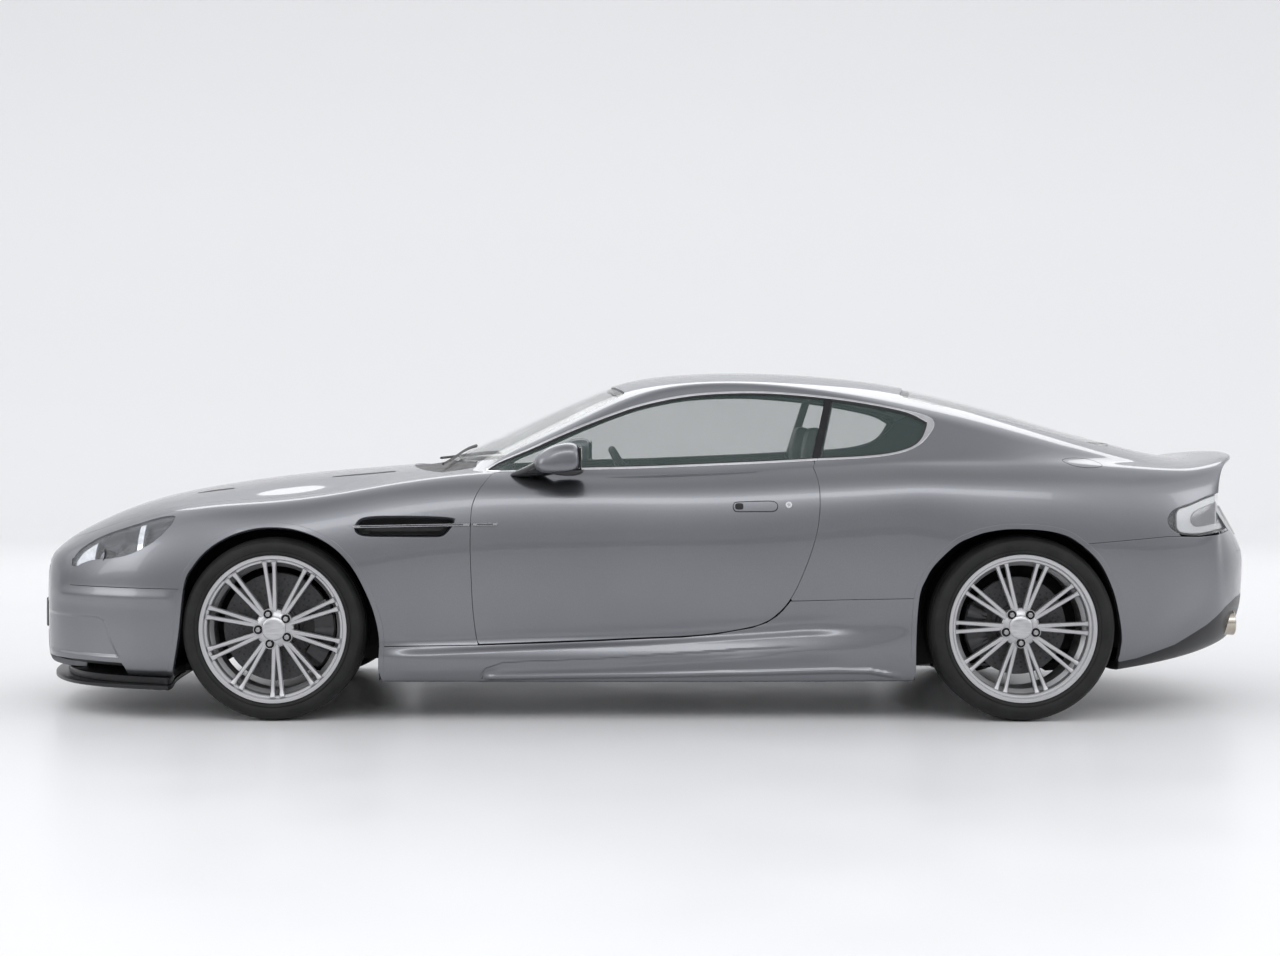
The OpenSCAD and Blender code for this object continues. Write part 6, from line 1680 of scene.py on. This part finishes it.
def rear_seat_pads(y0, side):
    cushion = block_pad((0.675, y0 - 0.165, 0.300), (0.800, y0 + 0.165, 0.405))
    back = turned_about(block_pad((0.815, y0 - 0.165, 0.410), (0.872, y0 + 0.165, 0.770)), (0.84, y0, 0.41), 4)
    back_seams = [lambda c, z=z: c.z - z for z in (0.53, 0.65)]
    for name, obj in (("cushion", filled(cushion)), ("back", seam_groove(filled(back), back_seams))):
        finish_piece(obj, f"rear_seat_{side}_{name}", "body", HIDE, ["rear_seats"], 50)

rear_seat_pads(0.33, "right")
rear_seat_pads(-0.33, "left")

# %% Seat bases
def plinth(name, low, high, bevel, mat, nodes=(), body="body"):
    """A bevelled block with an inset recess all round its sides."""
    bpy.ops.mesh.primitive_cube_add(size=1)
    obj = bpy.context.active_object
    for v in obj.data.vertices:
        v.co = [l + (c + 0.5) * (h - l) for l, c, h in zip(low, v.co, high)]
    pick(obj)
    bpy.ops.object.mode_set(mode="EDIT")
    bpy.ops.mesh.select_all(action="SELECT")
    bpy.ops.mesh.inset(thickness=bevel * 2.5, depth=-bevel * 0.6, use_individual=True)
    bpy.ops.mesh.select_all(action="SELECT")
    bpy.ops.mesh.normals_make_consistent(inside=False)
    bpy.ops.object.mode_set(mode="OBJECT")
    applied(obj, "BEVEL", width=bevel * 0.4, segments=2)
    return finish_piece(obj, name, body, mat, nodes, 30)

for side, sign in SIDES:
    plinth(f"seat_base_{side}", (0.03, sign * SEAT_Y - 0.16, 0.176), (0.51, sign * SEAT_Y + 0.16, 0.292), 0.012,
           PLASTIC, ["front_seats"])

# %% Steering wheel: rim, three spokes, centre pad
WHEEL_AT, RAKE, RING_R = Vector((-0.060, -SEAT_Y, 0.842)), math.radians(60), 0.1655
wheel_frame = Matrix.Translation(WHEEL_AT) @ Matrix.Rotation(RAKE, 4, "Y")
bpy.ops.mesh.primitive_torus_add(major_radius=RING_R, minor_radius=0.0145, major_segments=96,
                                 minor_segments=20)
rim_ring = bpy.context.active_object
for v in rim_ring.data.vertices:
    turn = math.atan2(v.co.y, v.co.x)
    grip = 1 + 0.10 * math.exp(-((abs(turn) - 1.9) / 0.22) ** 2)
    ring_centre = Vector((math.cos(turn), math.sin(turn), 0)) * RING_R
    v.co = ring_centre + (v.co - ring_centre) * grip
rim_ring.data.transform(wheel_frame)
finish_piece(rim_ring, "wheel_rim_hide", "steering_wheel_body", WHEEL_HIDE, ["steering_wheel"], 40)
spokes = []
for angle in (0, 90, 270):
    spoke = loft([[(x, -w, z - 0.004), (x, -w * 0.7, z + 0.003), (x, w * 0.7, z + 0.003),
                   (x, w, z - 0.004), (x, 0, z - 0.009)]
                  for x, w, z in ((-0.158, 0.014, -0.004), (-0.12, 0.016, -0.012), (-0.08, 0.022, -0.018),
                                  (-0.03, 0.03, -0.020))])
    spoke.data.transform(Matrix.Rotation(math.radians(angle), 4, "Z"))
    spokes.append(spoke)
spokes = joined(spokes)
spokes.data.transform(wheel_frame)
finish_piece(spokes, "wheel_spokes", "steering_wheel_body", STEEL, [], 35)
hub_pad = lathe([(0.0, -0.002), (0.040, -0.004), (0.056, -0.010), (0.062, -0.020), (0.060, -0.034), (0.045, -0.040),
                 (0.014, -0.060), (0.012, -0.36), (0.0, -0.36)], 48, closed=False)
hub_pad.data.transform(wheel_frame @ Matrix.Rotation(math.radians(90), 4, "X"))
finish_piece(hub_pad, "wheel_hub_pad", "steering_wheel_body", WHEEL_HIDE, [], 35)

# %% Dash: a rolled top over a face, hooded dials
dash_rings = []
for y in np.linspace(-0.595, 0.595, 25):
    hood = 0.022 * math.exp(-((y + 0.365) / 0.16) ** 4)
    side_drop = 0.018 * ease(np.array((abs(y) - 0.5) / 0.1))
    dash_rings.append([(-0.635, y, 0.64), (-0.635, y, 0.842 - side_drop), (-0.560, y, 0.884 - side_drop),
                       (-0.420, y, 0.896 - side_drop + hood * 0.3), (-0.335, y, 0.884 - side_drop + hood),
                       (-0.296, y, 0.862 - side_drop + hood), (-0.290, y, 0.838 - side_drop), (-0.262, y, 0.790),
                       (-0.292, y, 0.705), (-0.420, y, 0.635)])
dash = applied(loft(dash_rings), "BEVEL", width=0.007, segments=3, limit_method="ANGLE",
               angle_limit=math.radians(25))
finish_piece(dash, "dash_roll", "body", HIDE, ["dashboard"], 35)
plinth("centre_console", (-0.470, -0.098, 0.402), (0.555, 0.098, 0.545), 0.010, GLOSS_BLACK)
plinth("console_riser", (-0.470, -0.098, 0.548), (-0.335, 0.098, 0.700), 0.008, GLOSS_BLACK)
gear_knob = lathe([(0.0, 0.085), (0.012, 0.083), (0.019, 0.072), (0.020, 0.058), (0.012, 0.046), (0.007, 0.030),
                   (0.030, 0.004), (0.034, 0.0), (0.0, 0.0)], 32, closed=False)
gear_knob.data.transform(Matrix.Translation((-0.10, 0, 0.545)) @ Matrix.Rotation(math.radians(90), 4, "X"))
finish_piece(gear_knob, "gear_knob", "body", STEEL, [], 35)
dial_parts = []
for y in (-0.415, -0.315):
    dial = lathe([(0.0, 0.004), (0.040, 0.004), (0.041, 0.014), (0.045, 0.014), (0.046, 0.0), (0.0, 0.0)],
                 40, closed=False)
    dial.data.transform(Matrix.Translation((-0.287, y, 0.842)) @ Matrix.Rotation(math.radians(-90), 4, "Z"))
    dial_parts.append(dial)
finish_piece(joined(dial_parts), "dial_bezels", "body", STEEL, [], 30)

# %% [markdown]
# ## Mechanical parts and what stays from the CAD
# Some CAD solids have the right shape as they are: the floor, engine block, frames, knuckles and exhaust.
# They stay, and only get a finish with the tone, wear and grain of the real thing.

# %% Finishes for the CAD pieces that stay
FRAME_BLACK = surface_finish("frame_black", (0.014, 0.014, 0.015), (0.030, 0.029, 0.028), (0.45, 0.65), 0.2, 14,
                             grain_depth=0.0006, grain_size=420)
CAST = surface_finish("cast_alloy", (0.11, 0.11, 0.112), (0.19, 0.19, 0.192), (0.42, 0.60), 0.8, 22,
                      grain_depth=0.0006, grain_size=520)
TAILPIPE = surface_finish("tail_pipe_steel", (0.46, 0.42, 0.36), (0.66, 0.61, 0.53), (0.12, 0.26), 1.0, 18)
def keep_cad(node, mat):
    obj = frame["nodes"][node]
    for slot in obj.material_slots:
        slot.material = mat
    if not obj.material_slots:
        obj.data.materials.append(mat)

for node, mat in (("floor_pan", CARPET), ("engine_block", CAST),
                  ("front_subframe", FRAME_BLACK), ("rear_subframe", FRAME_BLACK), ("knuckle_left", FRAME_BLACK),
                  ("knuckle_right", FRAME_BLACK)):
    keep_cad(node, mat)

# %% Splitter blade and the riser between it and the bumper
def prism(half, low, high):
    """A smooth closed outline, given as its right half from the middle back, pulled up between two heights."""
    ring = curved(half + [[x, -y] for x, y in reversed(half) if y > 0], 3) / 1000
    steps = ((0.9985, low), (1.0, low + 0.002), (1.0, high - 0.002), (0.9985, high))
    return loft([[(x * s, y * s, z) for x, y in ring] for s, z in steps])

BLADE = [[-2352, 0], [-2345, 150], [-2322, 290], [-2285, 430], [-2230, 560], [-2160, 665], [-2070, 750],
         [-1970, 812], [-1860, 858], [-1775, 888], [-1762, 884], [-1764, 800], [-1790, 600], [-1800, 300],
         [-1800, 0]]
finish_piece(prism(BLADE, 0.112, 0.126), "splitter_blade", "body", CARBON, ["splitter"], 35)
RISER = [[x + 45 if x < -1850 else x - 6, y * 0.955] for x, y in BLADE]
finish_piece(prism(RISER, 0.1262, 0.153), "splitter_riser", "body", CARBON, [], 35)

# %% Exhaust: the silencers stay as they are, and a rolled tip takes the place of the plain pipe
inner_walls("exhaust", TAILPIPE, keep=lambda c: c.x < 2.035)
tip = lathe([(0.0465, 0.0), (0.0465, 0.185), (0.0475, 0.196), (0.0455, 0.199), (0.0430, 0.194), (0.0415, 0.180),
             (0.0415, 0.0)], 64)
tip.data.transform(Matrix.Translation((2.035, 0.52, 0.327)) @ Matrix.Rotation(math.radians(-90), 4, "Z"))
both_copies(tip, "exhaust_tip_{}", "body", TAILPIPE, ["exhaust"])

# %% Blank plates in their holders
PLATE = surface_finish("blank_plate_white", (0.66, 0.66, 0.65), (0.74, 0.74, 0.73), (0.30, 0.42), grain=30,
                       coat=0.3)
low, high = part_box("number_plate_front")
plinth("front_plate_holder", (low.x + 0.004, low.y, low.z), (high.x + 0.02, high.y, high.z), 0.006, PLASTIC,
       ["number_plate_front"])
plinth("front_plate", (low.x, low.y + 0.008, low.z + 0.004), (low.x + 0.005, high.y - 0.008, high.z - 0.004),
       0.002, PLATE)
keep_cad("number_plate_rear", PLATE)

# %% Wipers
def wiper(name, foot, tip):
    """A dark arm from the cowl with a thin blade on the glass."""
    rings, blade = [], []
    foot, tip = Vector(foot), Vector(tip)
    for k in range(9):
        t = k / 8
        p = foot.lerp(tip, t)
        hit = SKIN_TREE.ray_cast(Vector((p.x, p.y, 2)), Vector((0, 0, -1)))[0]
        z = hit.z + 0.012 - 0.004 * t
        rings.append([(p.x - 0.006, p.y, z), (p.x, p.y, z + 0.006), (p.x + 0.006, p.y, z), (p.x, p.y, z - 0.004)])
    arm_piece = loft(rings)
    for k in range(15):
        t = 0.25 + 0.85 * k / 14
        p = foot.lerp(tip, t)
        hit = SKIN_TREE.ray_cast(Vector((p.x - 0.010, p.y, 2)), Vector((0, 0, -1)))[0]
        z = hit.z + 0.003
        blade.append([(p.x - 0.013, p.y, z), (p.x - 0.011, p.y, z + 0.007), (p.x - 0.009, p.y, z)])
    blade_piece = loft(blade)
    finish_piece(joined([arm_piece, blade_piece]), name, "body", PLASTIC, [], 35)

wiper("wiper_left", (-0.790, -0.470, 0), (-0.700, 0.060, 0))
wiper("wiper_right", (-0.850, 0.120, 0), (-0.640, 0.520, 0))
shelf = all_of(outside(LID, SHUT), outside(REAR_GLASS, 2), at_x(1700), at_x(1900, False), at_y(249, False),
               at_z(800))
panel("rear_deck_skin", shelf, "body", "body_paint", PAINT, depth=0.012, lip=LIP, fine=2)
print("cabin and mechanical parts done")
